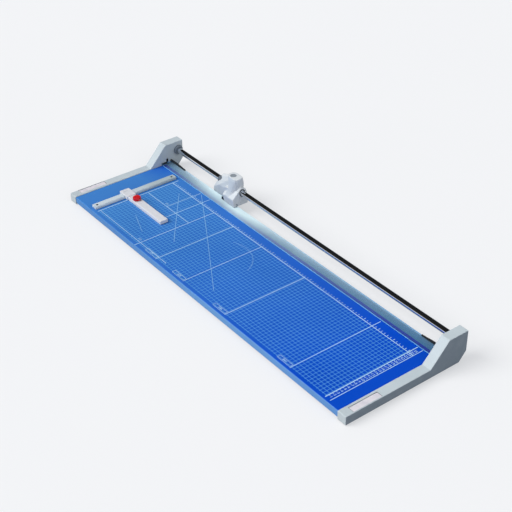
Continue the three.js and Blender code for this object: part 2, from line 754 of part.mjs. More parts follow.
// Black shoe that wipes along the clamp strip and closes the foot's leaning left end.
function guideShoe() {
  const [left, right] = SHOE_X;
  const foot = right + FOOT_LEAN[0] * (SHOE_TOP - FOOT_BOTTOM);
  const outline = [[left, FOOT_BOTTOM], [right, FOOT_BOTTOM], [foot, SHOE_TOP], [left, SHOE_TOP - 6]];
  return mesh('guide_shoe', prismY(outline, [FOOT_FRONT_Y + 1.5, RAMP_CHANNEL_Y[0]]), 'blackPlastic');
}

function bladeAxle() {
  return mesh('blade_axle', barY(AXLE_R, AXLE_Y, [BLADE_X, BLADE_Z]), 'groundSteel');
}

function bladeSpring() {
  const start = BLADE_Y + BLADE_T + 5.3;
  const height = HEAD_SPLIT_Y - start;
  const coil = coilSpring(5, SPRING_WIRE_R, height, 2).rotateX(-Math.PI / 2);
  const spring = mesh('blade_spring', coil, 'groundSteel');
  spring.position.set(BLADE_X, start, BLADE_Z);
  return spring;
}

// Ground flat on the front face, bevelled to the edge on the rear face.
function circularBlade() {
  const bore = AXLE_R + GAP;
  const bevel = 2.5;
  const edge = 0.15;
  const profile = [
    [bore, 0], [BLADE_R, 0], [BLADE_R, edge], [BLADE_R - bevel, BLADE_T], [bore, BLADE_T], [bore, 0],
  ];
  const blade = mesh('circular_blade', turned(profile, 36), 'groundSteel');
  blade.position.set(BLADE_X, BLADE_Y, BLADE_Z);
  return blade;
}

// Plastic boss behind the blade with three notches round its rim.
function bladeHub() {
  const length = 4.4;
  const bore = AXLE_R + GAP;
  const rim = 10;
  const notches = [0, 1, 2].map((i) => {
    const angle = i * 2 * Math.PI / 3;
    return barY(2, [-1, length + 1], [rim * Math.cos(angle), rim * Math.sin(angle)], SCREW_SIDES);
  });
  const profile = [
    [bore, 0], [rim, 0], [rim, 1.6], [7, 2.4], [7, length], [bore, length], [bore, 0],
  ];
  const hub = mesh('blade_hub', cut(turned(profile), ...notches), 'blackPlastic');
  hub.position.set(BLADE_X, BLADE_Y + BLADE_T + GAP, BLADE_Z);
  return hub;
}

function pressRoller(x, name) {
  const bore = ROLLER_PIN_R + GAP;
  const width = ROLLER_Y[1] - ROLLER_Y[0];
  const r = ROLLER_R;
  const profile = [
    [bore, 0], [r - 0.8, 0], [r, 0.8], [r, width - 0.8], [r - 0.8, width], [bore, width], [bore, 0],
  ];
  const roller = mesh(name, turned(profile, SMALL_ROUND), 'rubber');
  roller.position.set(x, ROLLER_Y[0], ROLLER_Z);
  return roller;
}

function rollerPin(x, name) {
  const ys = [FOOT_FRONT_Y + 1.1, RAMP_CHANNEL_Y[0] - GAP];
  const part = mesh(name, barY(ROLLER_PIN_R, ys, [0, 0], SCREW_SIDES), 'groundSteel');
  part.position.set(x, 0, ROLLER_Z);
  return part;
}

function headScrew([x, z], name) {
  const seat = BACK_Y - HEAD_SCREW_RECESS + GAP;
  const headR = HEAD_SCREW_RECESS_R - GAP;
  const geometry = screw(SCREW_R, seat - HEAD_SCREW_TIP_Y, headR, 2.4).rotateX(Math.PI);
  const part = mesh(name, geometry, 'blackSteel');
  part.position.set(x, seat, z);
  return part;
}

function cuttingHead() {
  const head = new THREE.Group();
  head.position.x = HEAD_X;
  head.add(
    headBody(),
    headCover(),
    headBadge(),
    guideShoe(),
    slideBush(BUSH_LEFT, 'slide_bush_left'),
    slideBush(BUSH_RIGHT, 'slide_bush_right'),
    bladeAxle(),
    bladeSpring(),
    circularBlade(),
    bladeHub(),
  );
  ['left', 'right'].forEach((hand, i) => {
    head.add(pressRoller(ROLLERS_X[i], `press_roller_${hand}`));
    head.add(rollerPin(ROLLERS_X[i], `roller_pin_${hand}`));
  });
  HEAD_SCREWS.forEach((place, i) => head.add(headScrew(place, `head_screw_${i + 1}`)));
  return head;
}

// ---------------------------------------------------------------- ruler bar and stop

const BAR_SCREW_HEAD_R = 3.4;
const BAR_SCREW_RECESS = 2.6;

function rulerBar() {
  const [left, right] = BAR_X;
  const bottom = TABLE_TOP + GAP;
  const outline = [
    [left, bottom], [right, bottom], [right, BAR_TOP - 3], [right - 2, BAR_TOP],
    [left + 0.8, BAR_TOP], [left, BAR_TOP - 0.8],
  ];
  const tools = RULER_SCREWS_Y.flatMap((y) => [
    screwHoleZ([0, BAR_TOP + 1], [RULER_SCREW_X, y]),
    barZ(BAR_SCREW_HEAD_R + GAP, [BAR_TOP - BAR_SCREW_RECESS, BAR_TOP + 1], [RULER_SCREW_X, y], SCREW_SIDES),
  ]);
  return mesh('ruler_bar', cut(prismY(outline, BAR_Y), ...tools), 'whitePlastic');
}

function rulerScrew(y, name) {
  const seat = BAR_TOP - BAR_SCREW_RECESS + GAP;
  const tip = 17;
  const geometry = screw(SCREW_R, seat - tip, BAR_SCREW_HEAD_R, 2).rotateX(-Math.PI / 2);
  const part = mesh(name, geometry, 'groundSteel');
  part.position.set(RULER_SCREW_X, y, seat);
  return part;
}

// Saddle that rides over the ruler bar; y is from the middle of the stop.
function stopSlider() {
  const saddle = box(SLIDER_X, [-SLIDER_HALF_Y, SLIDER_HALF_Y], [TABLE_TOP + 2 * GAP, SLIDER_TOP]);
  const tunnel = box([BAR_X[0] - 0.4, BAR_X[1] + 0.4], [-BIG, BIG], [0, BAR_TOP + 0.4]);
  return mesh('stop_slider', cut(saddle, tunnel), 'whitePlastic');
}

const STUD_R = 2.4;
const STUD_LENGTH = 7.5;
const STUD_HOLE_R = STUD_R + 0.4;
const NUT_ACROSS = 4.6;
const NUT_Z = [TABLE_TOP + 1.5, TABLE_TOP + 5.5];

function stopArm() {
  const [left, right] = ARM_X;
  const bottom = TABLE_TOP + 2 * GAP;
  const chamfer = 1;
  const outline = [
    [-ARM_HALF_Y, bottom], [ARM_HALF_Y, bottom], [ARM_HALF_Y, ARM_TOP - chamfer],
    [ARM_HALF_Y - chamfer, ARM_TOP], [chamfer - ARM_HALF_Y, ARM_TOP], [-ARM_HALF_Y, ARM_TOP - chamfer],
  ];
  const geometry = cut(
    prismX(outline, [left, right]),
    barZ(STUD_HOLE_R, [0, BIG], [KNOB_X, 0], SCREW_SIDES),
    barZ(NUT_ACROSS + 0.4, [0, NUT_Z[1] + GAP], [KNOB_X, 0], 6),
  );
  return mesh('stop_arm', geometry, 'whitePlastic');
}

function clampNut() {
  const nut = cut(barZ(NUT_ACROSS, NUT_Z, [0, 0], 6), barZ(STUD_HOLE_R, [0, BIG], [0, 0], SCREW_SIDES));
  const part = mesh('clamp_nut', nut, 'groundSteel');
  part.position.x = KNOB_X;
  return part;
}

// Fluted knob with its threaded stud moulded in.
function lockKnob() {
  const base = ARM_TOP + GAP;
  const height = 9.5;
  const profile = [
    [0, -STUD_LENGTH], [STUD_R, -STUD_LENGTH], [STUD_R, 0], [KNOB_R - 1.5, 0], [KNOB_R, 1.2],
    [KNOB_R, height - 2.2], [KNOB_R - 2.2, height], [0, height],
  ];
  const fluteCount = 6;
  const fluteR = 3;
  const fluteFoot = 1.5;
  const flutes = Array.from({ length: fluteCount }, (_, i) => {
    const angle = (i + 0.5) * 2 * Math.PI / fluteCount;
    const reach = KNOB_R + 1.2;
    return barZ(fluteR, [fluteFoot, height + 1], [reach * Math.cos(angle), reach * Math.sin(angle)], 10);
  });
  const knob = mesh('lock_knob', cut(turned(profile).rotateX(Math.PI / 2), ...flutes), 'redPlastic');
  knob.position.set(KNOB_X, 0, base);
  return knob;
}

function slidingStop() {
  const stop = new THREE.Group();
  stop.position.y = STOP_Y;
  stop.add(stopSlider(), stopArm(), clampNut(), lockKnob());
  return stop;
}

// ---------------------------------------------------------------- whole trimmer

const trimmer = new THREE.Group();

trimmer.add(tableBoard(), bladeCarrier(), lowerBlade(), guideRod(), clampStrip(), rulerBar());
trimmer.add(tableBrace(-200, 'table_brace_left'), tableBrace(200, 'table_brace_right'));
BLADE_SCREWS_X.forEach((x, i) => {
  const wallBottom = CARRIER_TOP - CARRIER_WALL;
  trimmer.add(uprightScrew(`blade_screw_${i + 1}`, x, BLADE_SCREW_Y, wallBottom, TABLE_TOP - 1));
});
trimmer.add(rulerScrew(RULER_SCREWS_Y[0], 'ruler_screw_front'));
trimmer.add(rulerScrew(RULER_SCREWS_Y[1], 'ruler_screw_rear'));

for (const [side, hand] of [[-1, 'left'], [1, 'right']]) {
  trimmer.add(
    endHousing(side, `end_housing_${hand}`),
    basePlate(side, `base_plate_${hand}`),
    labelPlate(side, `label_plate_${hand}`),
    bumper(side, `rod_bumper_${hand}`),
    rodLockScrew(side, `rod_lock_screw_${hand}`),
    stripRamp(side, `strip_ramp_${hand}`),
    stripHanger(side, `strip_hanger_${hand}`),
    liftSpring(side, `lift_spring_${hand}`),
    rubberFoot(side, FEET_Y[0], `foot_front_${hand}`),
    rubberFoot(side, FEET_Y[1], `foot_rear_${hand}`),
  );
  TABLE_SCREWS_Y.forEach((y, i) => {
    const name = `table_screw_${['front', 'rear'][i]}_${hand}`;
    trimmer.add(uprightScrew(name, side * (INNER_X - TABLE_SCREW_INSET), y, LEDGE_Z[0], TABLE_SCREW_TIP));
  });
}

trimmer.add(cuttingHead(), slidingStop());

export default trimmer;
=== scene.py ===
"""Rotary paper trimmer: visual pieces, procedural materials, soft studio light and camera.

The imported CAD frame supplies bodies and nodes. Lengths in this script are millimetres
until a mesh is made; +X runs along the cut, +Y to the rear, +Z up.
"""

import math

import bmesh
import bpy
from mathutils import Matrix, Vector


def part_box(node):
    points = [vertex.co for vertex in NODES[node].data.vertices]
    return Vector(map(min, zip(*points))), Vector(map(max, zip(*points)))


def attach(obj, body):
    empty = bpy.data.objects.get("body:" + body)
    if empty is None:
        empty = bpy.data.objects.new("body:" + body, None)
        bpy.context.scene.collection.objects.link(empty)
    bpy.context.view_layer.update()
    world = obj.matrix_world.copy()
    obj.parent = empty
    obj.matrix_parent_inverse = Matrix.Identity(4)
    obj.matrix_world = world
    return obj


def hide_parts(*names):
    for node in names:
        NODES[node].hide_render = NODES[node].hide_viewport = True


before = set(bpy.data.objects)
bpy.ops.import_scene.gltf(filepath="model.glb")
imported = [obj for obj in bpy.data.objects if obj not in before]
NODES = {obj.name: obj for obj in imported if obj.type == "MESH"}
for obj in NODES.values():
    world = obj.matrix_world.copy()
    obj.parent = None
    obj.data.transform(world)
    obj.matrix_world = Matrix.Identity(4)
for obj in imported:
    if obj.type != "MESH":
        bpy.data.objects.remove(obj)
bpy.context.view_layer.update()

MM = 0.001
GAP = 0.3                        # clearance between neighbouring solids


# ---------- places taken from the CAD

def span(node):
    """Lowest and highest corners of a CAD node, in millimetres."""
    low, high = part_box(node)
    return [c / MM for c in low], [c / MM for c in high]


HOUSING_LOW, HOUSING_HIGH = span("end_housing_right")
TABLE_LOW, TABLE_HIGH = span("table_board")
STRIP_LOW, STRIP_HIGH = span("clamp_strip")
ROD_LOW, ROD_HIGH = span("guide_rod")
BAR_LOW, BAR_HIGH = span("ruler_bar")
ARM_LOW, ARM_HIGH = span("stop_arm")
KNOB_LOW, KNOB_HIGH = span("lock_knob")
BODY_LOW = span("head_body")[0]
COVER_LOW, COVER_HIGH = span("head_cover")

TABLE_TOP = TABLE_HIGH[2]
INNER_X = TABLE_HIGH[0] + GAP
OUTER_X = HOUSING_HIGH[0]
FRONT_Y = HOUSING_LOW[1]
BACK_Y = HOUSING_HIGH[1]
FLOOR_GAP = HOUSING_LOW[2]
BLOCK_TOP = HOUSING_HIGH[2]
ROD_Y = (ROD_LOW[1] + ROD_HIGH[1]) / 2
ROD_Z = (ROD_LOW[2] + ROD_HIGH[2]) / 2
ROD_R = (ROD_HIGH[1] - ROD_LOW[1]) / 2


def middle(low, high):
    return [(a + b) / 2 for a, b in zip(low, high)]


def turned(node, across, lengthwise):
    """Middle, low end, length and radius of a round CAD node; its axes are numbered 0 to 2."""
    low, high = span(node)
    length = high[lengthwise] - low[lengthwise]
    return middle(low, high), low[lengthwise], length, (high[across] - low[across]) / 2


def mirrored(half, length):
    """Profile of (radius, height) points completed with its mirror image."""
    return half + [(radius, length - height) for radius, height in reversed(half)]


# ---------- node materials

def srgb(code):
    """Linear colour from a #rrggbb code."""
    values = [int(code[i:i + 2], 16) / 255 for i in (1, 3, 5)]
    linear = [v / 12.92 if v <= 0.04045 else ((v + 0.055) / 1.055) ** 2.4 for v in values]
    return (*linear, 1.0)


class Graph:
    """Small helper round the node tree of one material or of the world."""

    def __init__(self, owner, output="ShaderNodeOutputMaterial"):
        self.owner = owner
        owner.use_nodes = True
        self.tree = owner.node_tree
        self.tree.nodes.clear()
        self.output = self.tree.nodes.new(output)
        self.places = self.tree.nodes.new("ShaderNodeTexCoord").outputs
        self.coords = self.places["Object"]

    def node(self, kind, inputs=None, **settings):
        made = self.tree.nodes.new(kind)
        for key, value in settings.items():
            setattr(made, key, value)
        for key, value in (inputs or {}).items():
            self.feed(made.inputs[key], value)
        return made

    def feed(self, socket, value):
        if isinstance(value, bpy.types.NodeSocket):
            self.tree.links.new(value, socket)
        else:
            socket.default_value = value

    def noise(self, scale, detail=2.0, stretch=(1, 1, 1)):
        mapping = self.node("ShaderNodeMapping", {"Vector": self.coords, "Scale": stretch})
        return self.node("ShaderNodeTexNoise", {
            "Vector": mapping.outputs["Vector"],
            "Scale": scale,
            "Detail": detail,
            "Roughness": 0.5,
        }).outputs["Fac"]

    def ramp(self, value, low, high):
        """Linear map from the place low[0] to the value low[1], and high[0] to high[1]."""
        return self.node("ShaderNodeMapRange", {
            "Value": value,
            "From Min": low[0],
            "From Max": high[0],
            "To Min": low[1],
            "To Max": high[1],
        }).outputs["Result"]

    def math(self, operation, a, b):
        return self.node("ShaderNodeMath", {0: a, 1: b}, operation=operation).outputs[0]

    def mix(self, factor, a, b):
        return self.node("ShaderNodeMix", {0: factor, 6: a, 7: b}, data_type="RGBA").outputs[2]

    def bump(self, height, distance):
        inputs = {"Height": height, "Distance": distance, "Strength": 1.0}
        return self.node("ShaderNodeBump", inputs).outputs["Normal"]

    def part(self, vector, axis):
        """One component, X, Y or Z, of a vector."""
        return self.node("ShaderNodeSeparateXYZ", {"Vector": vector}).outputs[axis]

    def geometry(self, output):
        return self.node("ShaderNodeNewGeometry").outputs[output]

    def shade(self, colour, value):
        """A colour made lighter or darker."""
        return self.node("ShaderNodeHueSaturation", {"Color": colour, "Value": value}).outputs["Color"]

    def worn(self, colour, wear):
        """Convex edges rubbed through to the colour wear, in patches."""
        edge = self.ramp(self.geometry("Pointiness"), (0.53, 0.0), (0.62, 0.55))
        patches = self.ramp(self.noise(60, 4.0), (0.4, 0.2), (0.6, 1.0))
        return self.mix(self.math("MULTIPLY", edge, patches), colour, srgb(wear))

    def clouded(self, colour, other):
        clouds = self.ramp(self.noise(9.0, 3.0), (0.3, 0.0), (0.7, 1.0))
        return self.mix(clouds, srgb(colour), srgb(other))

    def blend(self, factor, first, second):
        return self.node("ShaderNodeMixShader", {0: factor, 1: first, 2: second}).outputs[0]

    def surface(self, shader):
        self.tree.links.new(shader, self.output.inputs["Surface"])
        return self.owner

    def principled(self, **inputs):
        """Principled surface; an input's name has underscores for spaces."""
        named = {key.replace("_", " "): value for key, value in inputs.items()}
        return self.surface(self.node("ShaderNodeBsdfPrincipled", named).outputs["BSDF"])


def material_graph(name):
    return Graph(bpy.data.materials.new(name))


def finish_of(name, colour, other, roughness, metallic=0.0, grain=900.0, grain_depth=0.00004,
              stretch=(1, 1, 1), wear=None, coat=0.0, rough_spread=0.08, front=None):
    """Opaque finish: two-tone colour clouds, uneven gloss, fine grain and optional edge wear.

    front is a painted shade: faces turned to the front are darkened towards this colour.
    """
    graph = material_graph(name)
    base = graph.clouded(colour, other)
    # painted shade: faces turned to the front are mixed towards the front colour
    if front:
        forward = graph.part(graph.geometry("Normal"), "Y")
        base = graph.mix(graph.ramp(forward, (-0.45, 0.0), (-0.92, 0.8)), base, srgb(front))
    fine = graph.noise(grain, 2.0, stretch)
    base = graph.shade(base, graph.ramp(fine, (0.35, 0.96), (0.65, 1.04)))
    if wear:
        base = graph.worn(base, wear)
    return graph.principled(
        Base_Color=base,
        Roughness=graph.ramp(graph.noise(45.0, 3.0), (0.3, roughness - rough_spread),
                             (0.7, roughness + rough_spread)),
        Metallic=metallic,
        Coat_Weight=coat,
        Coat_Roughness=0.12,
        Normal=graph.bump(fine, grain_depth),
    )


def table_paint():
    """Blue coating with painted light and shade: a painted sheen pales it to the left, a painted shadow
    deepens the rear left corner, and painted light pales the front fold.
    """
    graph = material_graph("table_paint")
    x, y = graph.part(graph.coords, "X"), graph.part(graph.coords, "Y")
    # painted sheen: paler to the left, deep blue to the right
    base = graph.mix(graph.ramp(x, (-0.56, 0.0), (0.42, 1.0)), srgb("#3b78bd"), srgb("#0045bb"))
    # painted shadow of the left housing: deep blue in the rear left corner
    corner = graph.math("MULTIPLY", graph.ramp(x, (-0.45, 0.0), (-0.54, 0.8)),
                        graph.ramp(y, (0.02, 0.0), (0.10, 1.0)))
    base = graph.mix(corner, base, srgb("#0a4fb6"))
    # painted light: faces turned to the front are paled, more so to the right
    forward = graph.part(graph.geometry("Normal"), "Y")
    painted_front_light = graph.math("MULTIPLY", graph.ramp(forward, (-0.2, 0.0), (-0.8, 0.6)),
                      graph.ramp(x, (-0.5, 0.3), (0.1, 1.0)))
    base = graph.mix(painted_front_light, base, srgb("#76abd2"))
    return graph.principled(
        Base_Color=graph.shade(base, graph.ramp(graph.noise(4.0, 4.0), (0.3, 0.94), (0.7, 1.06))),
        Roughness=graph.ramp(graph.noise(25.0, 4.0), (0.3, 0.36), (0.7, 0.46)),
        Specular_IOR_Level=0.12,
        Normal=graph.bump(graph.noise(700.0, 2.0), 0.00002),
    )


def end_moulding():
    """Pale grey moulding whose outer walls carry a painted shade, darker than its tops."""
    graph = material_graph("housing_moulding")
    sideways = graph.math("ABSOLUTE", graph.part(graph.geometry("Normal"), "X"), 0.0)
    x = graph.math("ABSOLUTE", graph.part(graph.coords, "X"), 0.0)
    edge = OUTER_X * MM
    # painted shade: outer end walls, facing sideways, are darkened
    wall = graph.math("MULTIPLY", graph.ramp(sideways, (0.6, 0.0), (0.95, 0.95)),
                      graph.ramp(x, (edge - 0.004, 0.0), (edge, 1.0)))
    base = graph.mix(wall, graph.clouded("#b9c4ca", "#b0bbc1"), srgb("#6b7884"))
    fine = graph.noise(1400.0, 2.0)
    base = graph.shade(base, graph.ramp(fine, (0.35, 0.96), (0.65, 1.04)))
    return graph.principled(
        Base_Color=graph.worn(base, "#d5dde1"),
        Roughness=graph.ramp(graph.noise(45.0, 3.0), (0.3, 0.42), (0.7, 0.58)),
        Normal=graph.bump(fine, 0.00005),
    )


def bar_moulding():
    """White moulding with a painted shade that turns it grey-green towards the rear end."""
    graph = material_graph("bar_moulding")
    # painted shade towards the rear end; the waves make its edge uneven
    waves = graph.math("MULTIPLY", graph.noise(30.0, 3.0), 0.03)
    place = graph.math("ADD", graph.part(graph.coords, "Y"), waves)
    base = graph.mix(graph.ramp(place, (-0.05, 0.0), (0.06, 1.0)), srgb("#c0cbd3"), srgb("#a2b0b6"))
    fine = graph.noise(1200.0, 2.0)
    return graph.principled(
        Base_Color=graph.shade(base, graph.ramp(fine, (0.35, 0.97), (0.65, 1.03))),
        Roughness=graph.ramp(graph.noise(50.0, 3.0), (0.3, 0.36), (0.7, 0.5)),
        Normal=graph.bump(fine, 0.00003),
    )


# How much of the studio softbox a flat, level sheet mirrors, against the sideways part of the
# mirrored direction.
SOFTBOX_GLARE = [(-0.74, 0.02), (-0.71, 0.45), (-0.685, 0.62), (-0.66, 0.27), (-0.62, 0.16),
                 (-0.56, 0.07), (-0.53, 0.05)]


def clear_plastic():
    """Clear sheet: tinted see-through body, a sharp sheen and the soft glare of the softbox."""
    graph = material_graph("clear_strip_body")
    first, last = SOFTBOX_GLARE[0][0], SOFTBOX_GLARE[-1][0]
    sideways = graph.part(graph.places["Reflection"], "X")
    curve = graph.node("ShaderNodeValToRGB", {"Fac": graph.ramp(sideways, (first, 0.0), (last, 1.0))})
    stops = curve.color_ramp.elements
    while len(stops) < len(SOFTBOX_GLARE):
        stops.new(0.5)
    for stop, (place, level) in zip(stops, SOFTBOX_GLARE):
        stop.position = (place - first) / (last - first)
        stop.color = (level, level, level, 1.0)
    rearward = graph.ramp(graph.part(graph.coords, "Y"), (0.11, 0.8), (0.137, 2.1))
    amount = graph.math("MULTIPLY", curve.outputs["Color"], rearward)
    clouds = graph.ramp(graph.noise(18.0, 3.0), (0.3, 0.92), (0.7, 1.08))
    amount = graph.math("MULTIPLY", amount, clouds)
    outside = graph.math("SUBTRACT", 1.0, graph.geometry("Backfacing"))
    amount = graph.math("MINIMUM", graph.math("MULTIPLY", amount, outside), 0.95)
    through = graph.node("ShaderNodeBsdfTransparent", {"Color": srgb("#cbe4f2")}).outputs[0]
    glare = graph.node("ShaderNodeBsdfDiffuse", {"Color": srgb("#d3e9ef")}).outputs[0]
    scuffs = graph.bump(graph.noise(160.0, 2.0, (0.05, 1, 1)), 0.000002)
    sheen = graph.node("ShaderNodeBsdfGlossy", {"Roughness": 0.15, "Normal": scuffs}).outputs[0]
    facing = graph.math("MULTIPLY", graph.node("ShaderNodeFresnel", {"IOR": 1.45}).outputs[0], outside)
    return graph.surface(graph.blend(facing, graph.blend(amount, through, glare), sheen))


def polished_rod():
    """Hard chrome with very fine lengthwise polishing lines."""
    graph = material_graph("rod_chrome")
    clouds = graph.ramp(graph.noise(6.0, 2.0), (0.3, 0.0), (0.7, 1.0))
    return graph.principled(
        Base_Color=graph.mix(clouds, srgb("#eef1f4"), srgb("#dfe4ea")),
        Metallic=1.0,
        Roughness=graph.ramp(graph.noise(40.0, 3.0), (0.3, 0.035), (0.7, 0.075)),
        Normal=graph.bump(graph.noise(1500.0, 2.0, (0.01, 1, 1)), 0.000004),
    )


MATERIALS = {
    "housing": end_moulding(),
    # the head's front-facing faces carry a painted shade (the front colour)
    "head": finish_of("head_moulding", "#d1d6da", "#c9cfd4", 0.46, wear="#dfe4e8",
                      grain=1500.0, grain_depth=0.00005, front="#a3afbb"),
    "table": table_paint(),
    "ink_light": finish_of("print_light", "#4b92cb", "#579dd1", 0.4, grain=500.0),
    "ink_bright": finish_of("print_bright", "#a9cfe9", "#b7d8ee", 0.4, grain=500.0),
    "ink_soft": finish_of("print_soft", "#80b1dd", "#8dbbe2", 0.4, grain=500.0),
    "blade_bed": finish_of("ground_steel", "#84a6b8", "#94b2bc", 0.5,
                           grain=700.0, stretch=(0.03, 1, 1), grain_depth=0.00001),
    "steel": finish_of("bright_steel", "#b9c2c8", "#a8b2b9", 0.3, metallic=1.0,
                       grain=1200.0, stretch=(1, 1, 0.2), grain_depth=0.00002),
    "aluminium": finish_of("mill_aluminium", "#b9bec3", "#aab0b6", 0.42, metallic=1.0,
                           grain=1000.0, stretch=(0.04, 1, 1), grain_depth=0.00003),
    "fasteners": finish_of("black_zinc", "#4a4d52", "#3c3f44", 0.38, metallic=1.0, wear="#8b8f94"),
    "white": finish_of("white_moulding", "#d2d3d9", "#c9cbd1", 0.42, wear="#ececef"),
    "bar": bar_moulding(),
    "black": finish_of("black_moulding", "#1d2023", "#16181b", 0.45, wear="#3f4348"),
    "rubber": finish_of("rubber_black", "#26282b", "#1e2022", 0.8, grain=2000.0,
                        grain_depth=0.00008, wear="#3c3f42"),
    "bumper": finish_of("rubber_grey", "#76818c", "#6b7681", 0.7, grain=1800.0,
                        grain_depth=0.00008, wear="#98a1a9"),
    "bush": finish_of("bush_grey", "#5d6670", "#535b65", 0.5, wear="#7c858e"),
    "label": finish_of("label_insert", "#cdc9d2", "#c5c2cc", 0.55, wear="#dfdade"),
    "badge": finish_of("badge_insert", "#8b939b", "#7d868f", 0.5, wear="#a9b0b6"),
    "red": finish_of("red_knob_moulding", "#cb181f", "#bd1219", 0.32, wear="#ee5a52",
                     coat=0.3, rough_spread=0.05),
    "clear": clear_plastic(),
    "clear_edge": finish_of("clear_strip_edge", "#6aaad9", "#79b6df", 0.25, grain=300.0),
    "rod": polished_rod(),
}


# ---------- mesh helpers

def link(obj):
    bpy.context.scene.collection.objects.link(obj)
    return obj


def to_object(name, bm):
    """Object in metres from a bmesh in millimetres."""
    bmesh.ops.recalc_face_normals(bm, faces=bm.faces)
    bmesh.ops.scale(bm, vec=(MM, MM, MM), verts=bm.verts)
    data = bpy.data.meshes.new(name)
    bm.to_mesh(data)
    bm.free()
    return link(bpy.data.objects.new(name, data))


def join_rings(bm, first, second):
    """Band of faces between two rings; a ring of one vertex is an apex."""
    steps = max(len(first), len(second))
    for i in range(steps):
        j = (i + 1) % steps
        if len(first) == 1:
            bm.faces.new((first[0], second[j], second[i]))
        elif len(second) == 1:
            bm.faces.new((first[i], first[j], second[0]))
        else:
            bm.faces.new((first[i], first[j], second[j], second[i]))


def through_rings(name, bm, rings):
    """Closed solid through rings of vertices."""
    for first, second in zip(rings, rings[1:]):
        join_rings(bm, first, second)
    bm.faces.new(rings[0])
    bm.faces.new(rings[-1])
    return to_object(name, bm)


AXIS_ORDER = {"x": (2, 0, 1), "y": (0, 2, 1), "z": (0, 1, 2)}


def prism(name, outline, axis, low, high):
    """Closed prism; outline is (y, z), (x, z) or (x, y) for axis x, y or z."""
    bm = bmesh.new()
    order = AXIS_ORDER[axis]

    def corner(point, along):
        three = (*point, along)
        return [three[order[0]], three[order[1]], three[order[2]]]

    rings = [[bm.verts.new(corner(p, along)) for p in outline] for along in (low, high)]
    bm.faces.new(rings[0])
    bm.faces.new(rings[1])
    join_rings(bm, *rings)
    return to_object(name, bm)


def block(name, low, high):
    outline = [(low[0], low[1]), (high[0], low[1]), (high[0], high[1]), (low[0], high[1])]
    return prism(name, outline, "z", low[2], high[2])


def hull(name, points):
    bm = bmesh.new()
    for point in points:
        bm.verts.new(point)
    made = bmesh.ops.convex_hull(bm, input=bm.verts)
    inside = [v for v in made["geom_interior"] if isinstance(v, bmesh.types.BMVert)]
    bmesh.ops.delete(bm, geom=inside, context="VERTS")
    return to_object(name, bm)


def lathe(name, profile, centre, axis="z", steps=64, closed=False):
    """Turned part: profile holds (radius, height along the axis) points, axis end or closed."""
    bm = bmesh.new()
    rings = []
    for radius, height in profile:
        angles = [2 * math.pi * i / steps for i in range(steps if radius else 1)]
        rings.append([bm.verts.new((radius * math.cos(a), radius * math.sin(a), height))
                      for a in angles])
    for first, second in zip(rings, rings[1:]):
        join_rings(bm, first, second)
    if closed:
        join_rings(bm, rings[-1], rings[0])
    turn = {
        "z": Matrix.Identity(3),
        "x": Matrix.Rotation(math.pi / 2, 3, "Y"),
        "y": Matrix.Rotation(-math.pi / 2, 3, "X"),
    }[axis]
    bmesh.ops.rotate(bm, cent=(0, 0, 0), matrix=turn, verts=bm.verts)
    bmesh.ops.translate(bm, vec=centre, verts=bm.verts)
    return to_object(name, bm)


def round_bar(name, radius, ends, centre, axis, steps):
    """Solid cylinder between two places along its axis."""
    low, high = ends
    return lathe(name, [(0, low), (radius, low), (radius, high), (0, high)], centre, axis, steps)


def evaluated_copy(obj):
    graph = bpy.context.evaluated_depsgraph_get()
    return bpy.data.meshes.new_from_object(obj.evaluated_get(graph), depsgraph=graph)


def apply_modifiers(obj):
    data = evaluated_copy(obj)
    obj.modifiers.clear()
    obj.data = data
    return obj


def combine(obj, others, operation):
    """Boolean with each of the others in turn; the others are removed."""
    for other in others:
        modifier = obj.modifiers.new("cut", "BOOLEAN")
        modifier.operation = operation
        modifier.solver = "MANIFOLD"
        modifier.object = other
    apply_modifiers(obj)
    for other in others:
        bpy.data.objects.remove(other)
    return obj


def carve(obj, *cutters):
    return combine(obj, cutters, "DIFFERENCE")


def unite(obj, *others):
    return combine(obj, others, "UNION")


def keep_inside(obj, other):
    return combine(obj, [other], "INTERSECT")


def bevel_edges(obj, width, segments, angle):
    modifier = obj.modifiers.new("edges", "BEVEL")
    modifier.width = width * MM
    modifier.segments = segments
    modifier.limit_method = "ANGLE"
    modifier.angle_limit = math.radians(angle)


def round_edges(obj, width, segments=3, angle=30):
    bevel_edges(obj, width, segments, angle)
    return apply_modifiers(obj)


def dress(obj, material, body, replaces=(), weighted=True):
    """Material, smooth shading, ride and the CAD nodes the piece stands for."""
    obj.data.materials.clear()
    obj.data.materials.append(MATERIALS[material])
    for polygon in obj.data.polygons:
        polygon.use_smooth = True
    obj.data.set_sharp_from_angle(angle=math.radians(35))
    if weighted:
        modifier = obj.modifiers.new("shading", "WEIGHTED_NORMAL")
        modifier.keep_sharp = True
    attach(obj, body)
    if replaces:
        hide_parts(*replaces)


def arc(centre, radius, start, end, steps):
    """Points on a circular arc, angles in degrees."""
    made = []
    for i in range(steps + 1):
        angle = math.radians(start + (end - start) * i / steps)
        made.append((centre[0] + radius * math.cos(angle), centre[1] + radius * math.sin(angle)))
    return made


def rounded_box_outline(low, high, front_r, rear_r=None, steps=5):
    """Rounded rectangle; the corners at the high y side may have a radius of their own."""
    (x0, y0), (x1, y1) = low, high
    if rear_r is None:
        rear_r = front_r
    return (
        arc((x1 - rear_r, y1 - rear_r), rear_r, 0, 90, steps)
        + arc((x0 + rear_r, y1 - rear_r), rear_r, 90, 180, steps)
        + arc((x0 + front_r, y0 + front_r), front_r, 180, 270, steps)
        + arc((x1 - front_r, y0 + front_r), front_r, 270, 360, steps)
    )


# ---------- end housings

RAIL_TOP = TABLE_TOP + 2
SLOPE_FOOT_Y = 68
SLOPE_TOP_Y = 121
REAR_CHAMFER_Y = 159
REAR_CHAMFER_Z = 27
WALL = 3
LABEL_RECESS = 1.2


